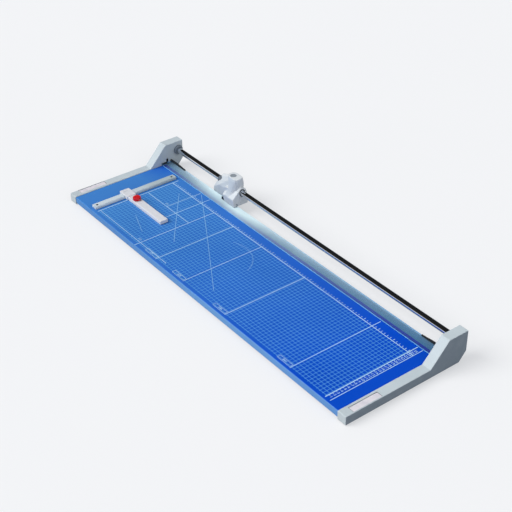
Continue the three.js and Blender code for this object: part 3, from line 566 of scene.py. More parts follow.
def housing(side, hand):
    inner = side * INNER_X
    outer = side * OUTER_X
    outline = [
        (FRONT_Y, FLOOR_GAP), (REAR_CHAMFER_Y, FLOOR_GAP), (BACK_Y, REAR_CHAMFER_Z),
        (BACK_Y, BLOCK_TOP), (SLOPE_TOP_Y, BLOCK_TOP), (SLOPE_FOOT_Y, RAIL_TOP),
        (FRONT_Y, RAIL_TOP),
    ]
    shell = prism(f"housing_{hand}", outline, "x", min(inner, outer), max(inner, outer))
    round_edges(shell, 1.7, 4, 20)

    label_low, label_high = span(f"label_plate_{hand}")
    label_recess = block(
        "recess",
        (label_low[0] - 1.3, label_low[1] - 1.1, RAIL_TOP - LABEL_RECESS),
        (label_high[0] + 0.4, label_high[1] + 1.3, RAIL_TOP + 5),
    )
    wall = sorted((inner + side * WALL, outer - side * WALL))
    inside = prism(
        "inside",
        [
            (FRONT_Y + WALL, FLOOR_GAP - 5), (REAR_CHAMFER_Y - 6, FLOOR_GAP - 5),
            (BACK_Y - WALL, REAR_CHAMFER_Z), (BACK_Y - WALL, BLOCK_TOP - WALL),
            (SLOPE_TOP_Y + 2, BLOCK_TOP - WALL), (SLOPE_FOOT_Y + 2, RAIL_TOP - WALL),
            (FRONT_Y + WALL, RAIL_TOP - WALL),
        ],
        "x", wall[0], wall[1],
    )
    socket = round_bar("socket", ROD_R + 0.4, (-12, 12), (inner, ROD_Y, ROD_Z), "x", 64)
    tongue = span(f"strip_hanger_{hand}")
    slot_x = sorted((inner - side, inner + side * (WALL + 1)))
    slot = block(
        "slot",
        (slot_x[0], tongue[0][1] - 1.6, STRIP_LOW[2] - 2),
        (slot_x[1], tongue[1][1] + 1.2, STRIP_HIGH[2] + 2.4),
    )
    finger_slot = block(
        "finger_slot",
        (slot_x[0], tongue[1][1] - 6, STRIP_HIGH[2]),
        (slot_x[1], tongue[1][1] + 1.2, tongue[1][2] + 2.4),
    )
    lock_x = middle(*span(f"rod_lock_screw_{hand}"))[0]
    lock_bore = round_bar("lock_bore", 3.4, (0, 30), (lock_x, BACK_Y - 12, ROD_Z), "y", 32)
    carve(shell, inside, label_recess, socket, slot, finger_slot, lock_bore)
    dress(shell, "housing", "base", [f"end_housing_{hand}"])


def label_plate(hand):
    low, high = span(f"label_plate_{hand}")
    plate = block(f"label_insert_{hand}", low, (high[0], high[1], high[2] - 0.35))
    round_edges(plate, 0.25, 2)
    dress(plate, "label", "base", [f"label_plate_{hand}"])


def label_seat(hand):
    """Black sheet on the floor of the label recess, a painted shadow; it shows as a dark line round the
    label.
    """
    low, high = span(f"label_plate_{hand}")
    seat = block(
        f"label_seat_{hand}",
        (low[0] - 1.1, low[1] - 0.9, RAIL_TOP - LABEL_RECESS + 0.05),
        (high[0] + 0.2, high[1] + 1.1, low[2] - 0.05),
    )
    dress(seat, "rubber", "base")


def lock_screw(hand):
    (x, _, _), start, length, _ = turned(f"rod_lock_screw_{hand}", 0, 1)
    profile = [(0, 0), (1.8, 0), (3, 1), (3, length - 0.4), (2.6, length), (0, length)]
    screw = lathe(f"lock_screw_{hand}", profile, (x, start, ROD_Z), "y", 40)
    carve(screw, round_bar("hex", 1.5, (0, 4), (x, start + length - 2.6, ROD_Z), "y", 6))
    dress(screw, "fasteners", "base", [f"rod_lock_screw_{hand}"])


def foot(name):
    (x, y, _), _, height, radius = turned(name, 0, 2)
    profile = [
        (0, 0), (radius - 1.6, 0), (radius - 0.7, 0.2), (radius - 0.1, 0.9), (radius, FLOOR_GAP),
        (3, FLOOR_GAP), (3, height), (0, height),
    ]
    dress(lathe(f"pad_{name}", profile, (x, y, 0), "z", 48), "rubber", "base", [name])


for hand, side in (("left", -1), ("right", 1)):
    housing(side, hand)
    label_plate(hand)
    label_seat(hand)
    lock_screw(hand)
    foot(f"foot_front_{hand}")
    foot(f"foot_rear_{hand}")


# ---------- guide rod

def guide_rod():
    inner_r = 6.4
    end = 0.8
    x0, x1 = ROD_LOW[0], ROD_HIGH[0]
    profile = [
        (inner_r, x0), (ROD_R - end, x0), (ROD_R, x0 + end), (ROD_R, x1 - end),
        (ROD_R - end, x1), (inner_r, x1),
    ]
    rod = lathe("polished_rod", profile, (0, ROD_Y, ROD_Z), "x", 128, closed=True)
    dress(rod, "rod", "base", ["guide_rod"], weighted=False)


def bumper(hand):
    _, start, length, outer = turned(f"rod_bumper_{hand}", 1, 0)
    profile = mirrored([
        (ROD_R + GAP, 0), (outer - 1.2, 0), (outer - 0.35, 0.35), (outer, 1.2), (outer, 2.2),
        (outer - 0.6, 2.6),
    ], length)
    ring = lathe(f"bumper_ring_{hand}", profile, (start, ROD_Y, ROD_Z), "x", 72, closed=True)
    dress(ring, "bumper", "base", [f"rod_bumper_{hand}"])


guide_rod()
bumper("left")
bumper("right")


# ---------- table and its print

def table_sheet():
    front = TABLE_LOW[1]
    rear = TABLE_HIGH[1]
    top = TABLE_TOP
    bottom = TABLE_LOW[2]
    sheet = 2
    bend = 1.8
    outline = (
        [(front + 14, bottom), (front + 14, bottom + sheet), (front + sheet, bottom + sheet)]
        + [(front + sheet, top - sheet), (rear - sheet, top - sheet)]
        + [(rear - sheet, top - 2.6), (rear, top - 2.6), (rear, top)]
        + arc((front + bend, top - bend), bend, 90, 180, 6)
        + arc((front + bend, bottom + bend), bend, 180, 270, 6)
    )
    board = prism("printed_table", outline, "x", TABLE_LOW[0], TABLE_HIGH[0])
    dress(board, "table", "base", ["table_board"])


# The print is laid out from the stop edge of the ruler bar (along) and from the table front (up).
SCALE_X = BAR_HIGH[0]
SCALE_Y = FRONT_Y + 2
INK_LOW = 0.01
INK_THICK = 0.05
GRID_PITCH = 10
GRID_LINE = 1.2
RIGHT_LINE = 963                 # end of the grid
LEFT_LINE = 10
GRID_FRONT = 8
GRID_REAR = 253


def ink_bottom(layer):
    return TABLE_TOP + INK_LOW + layer * (INK_THICK + INK_LOW)


def ink_lattice(name, rectangles, material, layer=0):
    """One closed flat solid covering the union of axis-aligned rectangles (x0, x1, y0, y1)."""
    xs = sorted({round(v, 3) for r in rectangles for v in r[:2]})
    ys = sorted({round(v, 3) for r in rectangles for v in r[2:]})
    x_at = {v: i for i, v in enumerate(xs)}
    y_at = {v: i for i, v in enumerate(ys)}
    filled = set()
    for x0, x1, y0, y1 in rectangles:
        for i in range(x_at[round(x0, 3)], x_at[round(x1, 3)]):
            for j in range(y_at[round(y0, 3)], y_at[round(y1, 3)]):
                filled.add((i, j))
    low = ink_bottom(layer)
    high = low + INK_THICK
    bm = bmesh.new()
    verts = {}

    def vert(i, j, top):
        key = (i, j, top)
        if key not in verts:
            z = high if top else low
            verts[key] = bm.verts.new((SCALE_X + xs[i], SCALE_Y + ys[j], z))
        return verts[key]

    for i, j in sorted(filled):
        bm.faces.new([vert(a, b, True) for a, b in ((i, j), (i + 1, j), (i + 1, j + 1), (i, j + 1))])
        bm.faces.new([vert(a, b, False) for a, b in ((i, j + 1), (i + 1, j + 1), (i + 1, j), (i, j))])
        sides = (
            ((i, j - 1), (i, j), (i + 1, j)),
            ((i + 1, j), (i + 1, j), (i + 1, j + 1)),
            ((i, j + 1), (i + 1, j + 1), (i, j + 1)),
            ((i - 1, j), (i, j + 1), (i, j)),
        )
        for neighbour, a, b in sides:
            if neighbour not in filled:
                bm.faces.new((vert(*a, False), vert(*b, False), vert(*b, True), vert(*a, True)))
    dress(to_object(name, bm), material, "base", weighted=False)


def across(x, width, y0, y1):
    return (x - width / 2, x + width / 2, y0, y1)


def along(y, width, x0, x1):
    return (x0, x1, y - width / 2, y + width / 2)


def printed_grid():
    lines = []
    columns = int((RIGHT_LINE - LEFT_LINE) / GRID_PITCH)
    for i in range(columns + 1):
        lines.append(across(LEFT_LINE + i * GRID_PITCH, GRID_LINE, GRID_FRONT + 2, GRID_REAR))
    y = GRID_FRONT + 5
    while y < GRID_REAR:
        lines.append(along(y, GRID_LINE, LEFT_LINE, RIGHT_LINE))
        y += GRID_PITCH
    ink_lattice("print_grid", lines, "ink_light")


def printed_lines():
    bright = 1.6
    lines = [
        along(GRID_REAR, 1.8, LEFT_LINE, RIGHT_LINE + 16),
        across(RIGHT_LINE, 2.2, GRID_FRONT, 283),
        across(RIGHT_LINE + 16, 1.6, GRID_FRONT, 283),
        across(LEFT_LINE, 1.8, 10, 273),
        along(18, 1.3, LEFT_LINE, 330),
        along(170, 1.4, 12, 210),
        across(105, 1.4, 170, 283),
        across(148, 1.4, 110, 283),
        across(210, bright, 0, GRID_REAR),
    ]
    for length in (297, 420, 594):
        lines.append(across(length, bright, GRID_FRONT, GRID_REAR))
    lines.append(across(841, bright, GRID_FRONT, 281))
    for i in range(int(RIGHT_LINE / GRID_PITCH)):
        x = LEFT_LINE + i * GRID_PITCH
        depth = 6.0 if i % 5 == 0 else 4.0
        lines.append(across(x, 1.5, 256, 256 + depth))
        if x < 320:
            lines.append(across(x + 5, 0.7, 256, 258.5))
    for i in range(25):
        lines.append(along(18 + i * GRID_PITCH, 1.0, RIGHT_LINE + 1, RIGHT_LINE + 5))
    ink_lattice("print_lines", lines, "ink_bright", layer=1)


def sheet_labels():
    """Small outlined boxes at the front end of the sheet lines."""
    lines = []
    for length, width in ((297, 52), (420, 50), (594, 50), (841, 48)):
        x0, x1 = length - width, length - 3
        y0, y1 = 9.5, 20.5
        thin = 0.9
        lines += [(x0, x1, y0, y0 + thin), (x0, x1, y1 - thin, y1),
                  (x0, x0 + thin, y0, y1), (x1 - thin, x1, y0, y1)]
    ink_lattice("print_label_boxes", lines, "ink_bright", layer=2)


def flat_text(name, items, material, layer):
    """Numbers as one thin closed solid; items are (text, x, y, height, turn in degrees)."""
    low = ink_bottom(layer)
    bm = bmesh.new()
    for text, x, y, height, turn in items:
        curve = bpy.data.curves.new("glyphs", "FONT")
        curve.body = text
        curve.size = height * 1.35
        curve.align_x = "CENTER"
        curve.align_y = "CENTER"
        curve.resolution_u = 3
        curve.extrude = INK_THICK / 2
        holder = link(bpy.data.objects.new("glyphs", curve))
        bpy.context.view_layer.update()
        data = evaluated_copy(holder)
        place = Matrix.Translation((SCALE_X + x, SCALE_Y + y, low + INK_THICK / 2))
        data.transform(place @ Matrix.Rotation(math.radians(turn), 4, "Z"))
        bm.from_mesh(data)
        bpy.data.objects.remove(holder)
        bpy.data.meshes.remove(data)
    bmesh.ops.remove_doubles(bm, verts=bm.verts, dist=0.0005)
    dress(to_object(name, bm), material, "base", weighted=False)


def printed_numbers():
    scale = [(str(i + 1), RIGHT_LINE + 8.6, 18 + i * GRID_PITCH, 7.0, 0) for i in range(26)]
    flat_text("print_scale_numbers", scale, "ink_bright", 2)
    light = [(str(length), length - 27, 15, 6.5, 0) for length in (297, 420, 594, 841)]
    light += [("210", 196, 26, 6, 0), ("148", 136, 120, 6, 0), ("105", 93, 178, 6, 0)]
    flat_text("print_sheet_numbers", light, "ink_bright", 3)


def bent_line(name, points, width, layer):
    """Thin closed ribbon through points (x, y) on the table."""
    low = ink_bottom(layer)
    high = low + INK_THICK
    bm = bmesh.new()
    rows = []
    for i, (x, y) in enumerate(points):
        before = Vector(points[max(i - 1, 0)])
        after = Vector(points[min(i + 1, len(points) - 1)])
        direction = (after - before).normalized()
        normal = Vector((-direction.y, direction.x)) * (width / 2)
        a = (SCALE_X + x + normal.x, SCALE_Y + y + normal.y)
        b = (SCALE_X + x - normal.x, SCALE_Y + y - normal.y)
        rows.append([bm.verts.new(v) for v in ((*a, low), (*b, low), (*b, high), (*a, high))])
    dress(through_rings(name, bm, rows), "ink_soft", "base", weighted=False)


def printed_angles():
    bent_line("print_angle_30", [(112, 280), (279, 180), (499, 45)], 1.1, 3)
    bent_line("print_angle_45", [(69, 235), (219, 120), (262, 88)], 1.1, 4)
    bent_line("print_angle_steep", [(89, 80), (169, 50)], 1.0, 5)
    sweep = arc((400, 130), 88, 118, 20, 20)
    bent_line("print_sweep", sweep, 0.9, 6)


table_sheet()
printed_grid()
printed_lines()
sheet_labels()
printed_numbers()
printed_angles()


# ---------- lower blade

def blade_bed():
    bed = block("cutting_bed", *span("lower_blade"))
    round_edges(bed, 0.15, 2)
    dress(bed, "blade_bed", "base", ["lower_blade"])


blade_bed()


# ---------- clamp strip

def clamp_strip():
    half = INNER_X - GAP
    tongue_low, tongue_high = 107.5, 126.5
    reach = STRIP_HIGH[0]
    front, rear = STRIP_LOW[1], STRIP_HIGH[1]
    outline = [
        (-half, front), (half, front), (half, tongue_low), (reach, tongue_low),
        (reach, tongue_high), (half, tongue_high), (half, rear), (-half, rear),
        (-half, tongue_high), (-reach, tongue_high), (-reach, tongue_low), (-half, tongue_low),
    ]
    strip = prism("clear_strip", outline, "z", STRIP_LOW[2], STRIP_HIGH[2])
    round_edges(strip, 0.3, 2)
    dress(strip, "clear", "strip", ["clamp_strip"])
    strip.data.materials.append(MATERIALS["clear_edge"])
    for polygon in strip.data.polygons:
        if abs(polygon.normal.z) < 0.9:
            polygon.material_index = 1


def strip_ramp(side, hand):
    low, high = span(f"strip_ramp_{hand}")
    end, tip = (high[0], low[0]) if side > 0 else (low[0], high[0])
    rise = high[2] - low[2]
    length = abs(tip - end)
    points = [(end, low[2]), (end, high[2]), (end - side * length * 0.42, high[2])]
    for i in range(1, 9):
        t = i / 8
        ease = (1 + math.cos(math.pi * t)) / 2
        x = end - side * length * (0.42 + 0.58 * t)
        points.append((x, low[2] + 2.2 + (rise - 2.2) * ease))
    points.append((tip, low[2]))
    ramp = prism(f"lift_ramp_{hand}", points, "y", low[1], high[1])
    round_edges(ramp, 0.4, 2, 50)
    dress(ramp, "black", "strip", [f"strip_ramp_{hand}"])


clamp_strip()
strip_ramp(-1, "left")
strip_ramp(1, "right")


# ---------- ruler bar and stop

def cross_screw(name, node, top, radius, axis, body, material):
    """Countersunk-head screw with a cross recess, its head at the high end of the axis."""
    low, high = span(node)
    index = "xyz".index(axis)
    centre = middle(low, high)
    centre[index] = 0
    start = low[index]
    head = 2.0
    profile = [
        (0, start), (1.6, start), (2, start + 0.5), (2, top - head), (radius, top - head),
        (radius, top - 0.5), (radius - 0.5, top), (0, top),
    ]
    screw = lathe(name, profile, centre, axis, 40)
    bars = []
    others = [k for k in range(3) if k != index]
    for long_axis in others:
        lows, highs = list(centre), list(centre)
        for k in others:
            reach = radius * 0.62 if k == long_axis else 0.42
            lows[k] -= reach
            highs[k] += reach
        lows[index] = top - 1.2
        highs[index] = top + 1
        bars.append(block("slot", lows, highs))
    carve(screw, *bars)
    dress(screw, material, body, [node])


def ruler_bar():
    left, right = BAR_LOW[0], BAR_HIGH[0]
    bottom, top = BAR_LOW[2], BAR_HIGH[2]
    outline = [
        (left, bottom), (right, bottom), (right, top - 3), (right - 2, top),
        (left + 0.8, top), (left, top - 0.8),
    ]
    bar = prism("ruler_rail", outline, "y", BAR_LOW[1], BAR_HIGH[1])
    round_edges(bar, 0.5, 3, 20)
    cutters = []
    for node in ("ruler_screw_front", "ruler_screw_rear"):
        x, y, _ = middle(*span(node))
        cutters.append(lathe("hole", [(0, bottom - 3), (2.3, bottom - 3), (2.3, top - 2.6),
                                      (3.7, top - 2.6), (3.7, top + 2), (0, top + 2)],
                             (x, y, 0), "z", 40))
    y = BAR_LOW[1] + 14
    index = 0
    while y < BAR_HIGH[1] - 12:
        depth = 2.6 if index % 5 == 0 else 1.6
        cutters.append(block("tick", (right - 0.35, y - 0.45, bottom - 1),
                             (right + 1, y + 0.45, bottom + depth)))
        y += 5
        index += 1
    carve(bar, *cutters)
    dress(bar, "bar", "base", ["ruler_bar"])
    for node in ("ruler_screw_front", "ruler_screw_rear"):
        cross_screw(f"cross_{node}", node, top - 0.5, 3.4, "z", "base", "steel")


def stop_slider():
    low, high = span("stop_slider")
    saddle = block("stop_saddle", low, high)
    round_edges(saddle, 1.2, 4)
    tunnel = block("tunnel", (BAR_LOW[0] - 0.4, low[1] - 5, low[2] - 5),
                   (BAR_HIGH[0] + 0.4, high[1] + 5, BAR_HIGH[2] + 0.4))
    window = prism(
        "window",
        rounded_box_outline((BAR_LOW[0] + 3, low[1] + 6), (BAR_HIGH[0] - 3, high[1] - 6), 2),
        "z", high[2] - 0.8, high[2] + 2,
    )
    carve(saddle, tunnel, window)
    dress(saddle, "white", "stop", ["stop_slider"])


def stop_arm():
    low, high = ARM_LOW, ARM_HIGH
    bottom, top = low[2], high[2]
    half = (high[1] - low[1]) / 2
    y = middle(low, high)[1]
    outline = [
        (y - half, bottom), (y + half, bottom), (y + half, top - 1), (y + half - 1, top),
        (y - half + 1, top), (y - half, top - 1),
    ]
    arm = prism("stop_rail", outline, "x", low[0], high[0])
    round_edges(arm, 0.7, 3, 20)
    knob_x = middle(KNOB_LOW, KNOB_HIGH)[0]
    stud = round_bar("stud", 2.8, (0, 60), (knob_x, y, 0), "z", 32)
    nut = round_bar("nut", 5, (0, TABLE_TOP + 5.8), (knob_x, y, 0), "z", 6)
    seat = round_bar("seat", 12, (top - 0.6, top + 3), (knob_x, y, 0), "z", 64)
    groove = block("groove", (knob_x + 16, y - 1.2, top - 0.5), (high[0] - 8, y + 1.2, top + 2))
    carve(arm, stud, nut, seat, groove)
    dress(arm, "white", "stop", ["stop_arm"])


def lock_knob():
    x, y, _ = middle(KNOB_LOW, KNOB_HIGH)
    base = ARM_HIGH[2] + 0.3
    top = KNOB_HIGH[2]
    radius = (KNOB_HIGH[0] - KNOB_LOW[0]) / 2
    profile = [
        (0, KNOB_LOW[2]), (2.4, KNOB_LOW[2]), (2.4, base), (radius - 1.2, base),
        (radius - 0.3, base + 0.5), (radius, base + 1.4), (radius, top - 2.6),
        (radius - 0.3, top - 1.6), (radius - 0.95, top - 0.75), (radius - 2.0, top - 0.2),
        (radius - 3.2, top), (4.4, top), (3.8, top - 0.35), (0, top - 0.6),
    ]
    knob = lathe("red_knob", profile, (x, y, 0), "z", 96)
    flutes = []
    count = 6
    for i in range(count):
        angle = 2 * math.pi * (i + 0.5) / count
        reach = radius + 1.4
        flutes.append(lathe(
            "flute", [(0, base + 1.5), (2.9, base + 1.5), (3.2, top + 1), (0, top + 1)],
            (x + reach * math.cos(angle), y + reach * math.sin(angle), 0), "z", 32,
        ))
    carve(knob, *flutes)
    dress(knob, "red", "knob", ["lock_knob"])


ruler_bar()
stop_slider()
stop_arm()
lock_knob()


# ---------- cutting head

HEAD_LEFT = -62
HEAD_X = BODY_LOW[0] - HEAD_LEFT
HEAD_FRONT_Y = 142.2             # front of the head behind the cut
HEAD_BOTTOM = 22
FOOT_Z = 29.4                    # sole of the foot, just over the clamp strip
FOOT_LEFT = 13
FOOT_RIGHT = 59
GUARD_FRONT_Y = 137.3
RAMP_CHANNEL_Y = (134.3, 139.9)  # the strip's ramps pass through here
RAMP_CHANNEL_TOP = 35.9
SPLIT_Y = COVER_HIGH[1]          # joint between the front and the rear shell


def head_point(x, y, z):
    return (HEAD_X + x, y, z)


def head_section(x, section):
    return [head_point(x, y, z) for y, z in section]


def head_loft(name, levels):
    """Closed loft through levels of equal length; a level is (z, [(x, y), ...])."""
    bm = bmesh.new()
    rings = [[bm.verts.new(head_point(x, y, z)) for x, y in points] for z, points in levels]
    return through_rings(name, bm, rings)


# Hood sections (x, [(y, z), ...]) from the left foot up to the turret
HOOD = [
    (HEAD_LEFT, [
        (146, HEAD_BOTTOM), (BACK_Y, HEAD_BOTTOM), (146, 34), (150, 40), (176, 48), (BACK_Y, 46),
    ]),
    (-52, [(163, 66), (172, 70), (BACK_Y, 62)]),
    (-33, [(HEAD_FRONT_Y, HEAD_BOTTOM), (HEAD_FRONT_Y, 54)]),
    (16, [
        (HEAD_FRONT_Y, HEAD_BOTTOM), (BACK_Y, HEAD_BOTTOM), (144, 57), (158, 88), (163, 95),
        (176, 95), (BACK_Y, 88),
    ]),
]

# Turret outlines: z, left, right, front, rear, front and rear corner radius
TURRET = [
    (46, 8, 34.5, 127, 180, 8, 5),
    (50, 8, 34.5, 127.6, 180, 9, 5),
    (55, 9, 34.5, 131.3, 180, 10, 5),
    (62, 9.5, 35, 135.3, 180, 11, 6),
    (70, 9, 37, 138.3, 180, 13, 7),
    (80, 6, 38.8, 142, 180, 14, 9),
    (90, 0, 39.2, 145.3, 179, 14, 12),
    (95.5, -5, 39, 148, 178, 14, 13),
    (97, -4, 37.5, 149.5, 177, 13, 13),
]

# Side profile (y, z) of the sloping base that carries the foot and wraps the rod
BASE_SIDE = [
    (127, FOOT_Z), (127, 48), (129, 50), (160, 72), (166, 73), (171, 71), (176, 65.5),
    (178, 58), (177, 44), (173, FOOT_Z),
]


def left_end(z):
    return FOOT_LEFT - 0.36 * (z - FOOT_Z)


def right_end(z):
    return FOOT_RIGHT - 0.33 * (z - FOOT_Z)


def head_mass():
    """Hood, turret, sloping base and rear block as one softened moulding."""
    points = []
    for x, section in HOOD:
        points += head_section(x, section)
    hood = hull("head_mass", points)
    levels = []
    for z, left, right, front, rear, front_r, rear_r in TURRET:
        levels.append((z, rounded_box_outline((left, front), (right, rear), front_r, rear_r, 8)))
    turret = head_loft("turret", levels)
    base = hull("base", [
        head_point(x, y, z) for y, z in BASE_SIDE for x in (left_end(z), right_end(z))
    ])
    (x, _, z), _, _, radius = turned("circular_blade", 0, 1)
    guard = round_bar("guard", radius + 3.2, (GUARD_FRONT_Y, SPLIT_Y), (x, 0, z), "y", 96)
    keep_inside(guard, block("above", head_point(-90, 100, FOOT_Z), head_point(90, 190, 120)))
    rear_block = hull("rear_block", [
        head_point(x, y, z)
        for z in (HEAD_BOTTOM, 50) for x in (-22, 40) for y in (HEAD_FRONT_Y, 178)
    ])
    unite(hood, turret, base, rear_block, guard)
    keep_inside(hood, block("limits", head_point(HEAD_LEFT, 100, 0), head_point(FOOT_RIGHT, BACK_Y, 97)))
    remesh = hood.modifiers.new("skin", "REMESH")
    remesh.mode = "VOXEL"
    remesh.voxel_size = 0.8 * MM
    smooth = hood.modifiers.new("soften", "SMOOTH")
    smooth.factor = 0.5
    smooth.iterations = 4
    return apply_modifiers(hood)


def badge_recess():
    (x, y, _), bottom, _, radius = turned("head_badge", 0, 2)
    return round_bar("recess", radius + GAP, (bottom - GAP, 110), (x, y, 0), "z", 72)


def axle_bore():
    low, high = span("blade_axle")
    x, _, z = middle(low, high)
    return round_bar("bore", 3 + GAP, (low[1] - GAP, high[1] + GAP), (x, 0, z), "y", 32)


def blade_pocket():
    (x, _, z), _, _, radius = turned("circular_blade", 0, 1)
    half = radius + 1.2
    outline = [(x + half, z - 60), (x + half, z)] + arc((x, z), half, 0, 180, 32)[1:]
    return prism("pocket", outline + [(x - half, z - 60)], "y", RAMP_CHANNEL_Y[1], SPLIT_Y + 0.5)


def roller_pockets():
    made = []
    for hand in ("left", "right"):
        low, high = span(f"press_roller_{hand}")
        x, _, z = middle(low, high)
        bore = (span(f"roller_pin_{hand}")[0][1] - GAP, RAMP_CHANNEL_Y[0] + 1.5)
        made.append(block("pocket", (low[0] - 1, low[1] - GAP, 10),
                          (high[0] + 1, high[1] + GAP, high[2] + 1)))
        made.append(round_bar("bore", 1.8, bore, (x, 0, z), "y", 24))
    return made


def head_screw_bores():
    made = []
    seat = BACK_Y - 5
    for i in (1, 2, 3):
        low, high = span(f"head_screw_{i}")
        x, _, z = middle(low, high)
        tip = low[1] - 0.5
        profile = [(0, tip), (2.3, tip), (2.3, seat), (4.1, seat), (4.1, seat + 14), (0, seat + 14)]
        made.append(lathe("bore", profile, (x, 0, z), "y", 32))
    return made


def rod_tunnel():
    return round_bar("tunnel", 10 + GAP, (-80, 80), (HEAD_X, ROD_Y, ROD_Z), "x", 96)


def cutting_head():
    rear = head_mass()
    front = link(rear.copy())
    front.data = rear.data.copy()
    rear.name = "head_rear_shell"
    front.name = "head_front_shell"
    left = COVER_LOW[0]
    keep_inside(front, block("front_space", (left, 0, 0), (HEAD_X + 200, SPLIT_Y, 300)))
    front_space = block("front_space", (left - 0.4, -50, -50), (HEAD_X + 200, SPLIT_Y + 0.4, 300))
    carve(rear, front_space, rod_tunnel(), badge_recess(), axle_bore(), *head_screw_bores())
    channel = block("channel", (HEAD_X - 90, RAMP_CHANNEL_Y[0], 10),
                    (HEAD_X + 90, RAMP_CHANNEL_Y[1], RAMP_CHANNEL_TOP))
    carve(front, rod_tunnel(), badge_recess(), axle_bore(), blade_pocket(), channel,
          *roller_pockets(), *head_screw_bores())
    dress(rear, "head", "head", ["head_body"], weighted=False)
    dress(front, "head", "head", ["head_cover"], weighted=False)


def head_badge():
    (x, y, _), bottom, height, radius = turned("head_badge", 0, 2)
    top = bottom + height
    profile = [
        (0, bottom), (radius, bottom), (radius, top - 0.6), (radius - 0.2, top - 0.15),
        (radius - 0.8, top), (radius - 1.8, top), (radius - 2.2, top - 0.4),
        (radius - 4.2, top - 0.4), (radius - 4.6, top - 0.1), (0, top - 0.1),
    ]
    dress(lathe("round_badge", profile, (x, y, 0), "z", 96), "badge", "head", ["head_badge"])


def slide_bush(hand):
    _, start, length, outer = turned(f"slide_bush_{hand}", 1, 0)
    bore = ROD_R + GAP
    profile = mirrored([(bore + 0.4, 0), (outer - 0.4, 0), (outer, 0.4)], length)
    profile += [(bore, length - 0.4), (bore, 0.4)]
    bush = lathe(f"bush_{hand}", profile, (start, ROD_Y, ROD_Z), "x", 64, closed=True)
    dress(bush, "bush", "head", [f"slide_bush_{hand}"])


def round_blade():
    (x, _, z), start, thick, radius = turned("circular_blade", 0, 1)
    profile = [
        (3.3, 0), (radius - 0.05, 0), (radius, 0.08), (radius - 2.5, thick), (3.3, thick),
    ]
    blade = lathe("round_blade", profile, (x, start, z), "y", 120, closed=True)
    dress(blade, "steel", "blade", ["circular_blade"])


def press_roller(hand):
    (x, _, z), start, width, radius = turned(f"press_roller_{hand}", 0, 1)
    profile = mirrored([(1.8, 0), (radius - 1.0, 0), (radius - 0.3, 0.3), (radius, 1.0)], width)
    roller = lathe(f"roller_{hand}", profile, (x, start, z), "y", 64, closed=True)
    dress(roller, "rubber", f"roller_{hand}", [f"press_roller_{hand}"])


cutting_head()
head_badge()
slide_bush("left")
slide_bush("right")
round_blade()
press_roller("left")
press_roller("right")
for number in (1, 2, 3):
    screw_node = f"head_screw_{number}"
    cross_screw(f"cross_{screw_node}", screw_node, span(screw_node)[1][1] - 0.2, 3.8, "y",
                "head", "fasteners")


# ---------- CAD nodes that stay

def pair(name):
    return [f"{name}_left", f"{name}_right"]


KEPT = {
    "aluminium": ["blade_carrier", *pair("table_brace")],
    "black": [*pair("base_plate"), *pair("strip_hanger"), "blade_hub", "guide_shoe"],
    "steel": [*pair("lift_spring"), "blade_spring", "blade_axle", *pair("roller_pin"), "clamp_nut"],
    "fasteners": [f"blade_screw_{number}" for number in (1, 2, 3, 4)]
    + pair("table_screw_front") + pair("table_screw_rear"),
}
KEPT_BEVEL = 0.2


def finish_kept(node_name, finish):
    """Own finish for a CAD node that stays, and softened edges unless it is a coil."""
    kept = NODES[node_name]
    if "spring" not in node_name:
        kept.modifiers.new("weld", "WELD").merge_threshold = 0.01 * MM
        bevel_edges(kept, KEPT_BEVEL, 2, 40)
    if not kept.material_slots:
        kept.data.materials.append(None)
    for slot in kept.material_slots:
        slot.link = "OBJECT"
        slot.material = MATERIALS[finish]


for kept_finish, node_names in KEPT.items():
    for kept_name in node_names:
        finish_kept(kept_name, kept_finish)


# ---------- studio

def pale_floor():
    data = bpy.data.meshes.new("studio_floor")
    reach = 9.0
    corners = [(-reach, -reach, 0), (reach, -reach, 0), (reach, reach, 0), (-reach, reach, 0)]
    data.from_pydata(corners, [], [(0, 1, 2, 3)])
    floor = link(bpy.data.objects.new("studio_floor", data))
    graph = material_graph("studio_floor")
    rays = graph.node("ShaderNodeLightPath").outputs
    seen = graph.math("MAXIMUM", rays["Is Camera Ray"], rays["Is Glossy Ray"])
    clouds = graph.ramp(graph.noise(0.6, 2.0), (0.3, 0.98), (0.7, 1.0))
    pale = graph.shade(graph.mix(seen, srgb("#8b8e92"), srgb("#eff0f2")), clouds)
    matt = graph.node("ShaderNodeBsdfPrincipled", {
        "Base Color": pale, "Roughness": 0.9, "Specular IOR Level": 0.0,
    })
    # A lit table under the object keeps its shadows faint.
    glow = graph.node("ShaderNodeEmission", {"Color": srgb("#eff0f2"), "Strength": 0.97})
    share = graph.math("MULTIPLY", seen, 0.6)
    data.materials.append(graph.surface(graph.blend(share, matt.outputs["BSDF"], glow.outputs[0])))


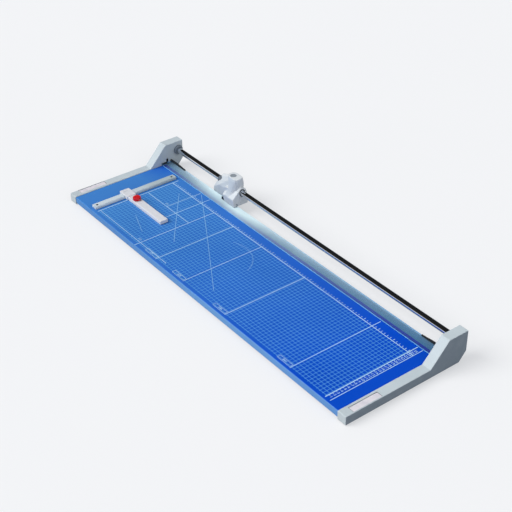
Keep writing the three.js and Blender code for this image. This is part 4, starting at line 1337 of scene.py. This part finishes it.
def surroundings():
    """Soft ambient light; polished metal mirrors a pale horizon under a dark studio ceiling."""
    world = bpy.data.worlds.new("studio")
    bpy.context.scene.world = world
    graph = Graph(world, "ShaderNodeOutputWorld")
    rays = graph.node("ShaderNodeLightPath").outputs
    ceiling = graph.ramp(graph.part(graph.places["Generated"], "Z"), (0.1, 0.85), (0.24, 0.02))

    def background(inputs):
        return graph.node("ShaderNodeBackground", inputs).outputs[0]

    soft = background({"Color": srgb("#eef2f8"), "Strength": 0.42})
    mirrored = background({"Strength": ceiling})
    plain = background({"Color": srgb("#eef0f1"), "Strength": 1.0})
    unseen = graph.blend(rays["Is Glossy Ray"], soft, mirrored)
    graph.surface(graph.blend(rays["Is Camera Ray"], unseen, plain))


def distant_light(name, direction, strength, spread, colour):
    """Parallel light from a direction, softened by its angular spread in degrees."""
    data = bpy.data.lights.new(name, "SUN")
    data.energy = strength
    data.angle = math.radians(spread)
    data.color = srgb(colour)[:3]
    lamp = link(bpy.data.objects.new(name, data))
    lamp.visible_glossy = False
    lamp.rotation_euler = Vector(direction).to_track_quat("Z", "Y").to_euler()


def camera():
    """Fitted to the object's edges: pose in metres and degrees, lens for a 36 mm wide sensor."""
    azimuth, elevation, roll = 53.025, 34.301, -0.668
    data = bpy.data.cameras.new("camera")
    data.sensor_width = 36.0
    data.lens = 79.94
    data.clip_end = 60.0
    cam = link(bpy.data.objects.new("camera", data))
    a, e, r = (math.radians(v) for v in (azimuth, elevation, roll))
    back = Vector((math.sin(a) * math.cos(e), -math.cos(a) * math.cos(e), math.sin(e)))
    forward = -back
    right = forward.cross(Vector((0, 0, 1))).normalized()
    up = right.cross(forward)
    rolled_right = right * math.cos(r) + up * math.sin(r)
    rolled_up = up * math.cos(r) - right * math.sin(r)
    turn = Matrix((rolled_right, rolled_up, back)).transposed().to_4x4()
    cam.matrix_world = Matrix.Translation((1.89073, -1.39806, 1.65316)) @ turn
    bpy.context.scene.camera = cam


pale_floor()
surroundings()
distant_light("key", (-0.36, -0.66, 0.66), 3.15, 44.0, "#fffdfa")
distant_light("fill", (0.86, -0.10, 0.42), 1.0, 70.0, "#f4f8ff")
camera()
bpy.context.scene.view_settings.view_transform = "Standard"
bpy.context.scene.view_settings.look = "None"
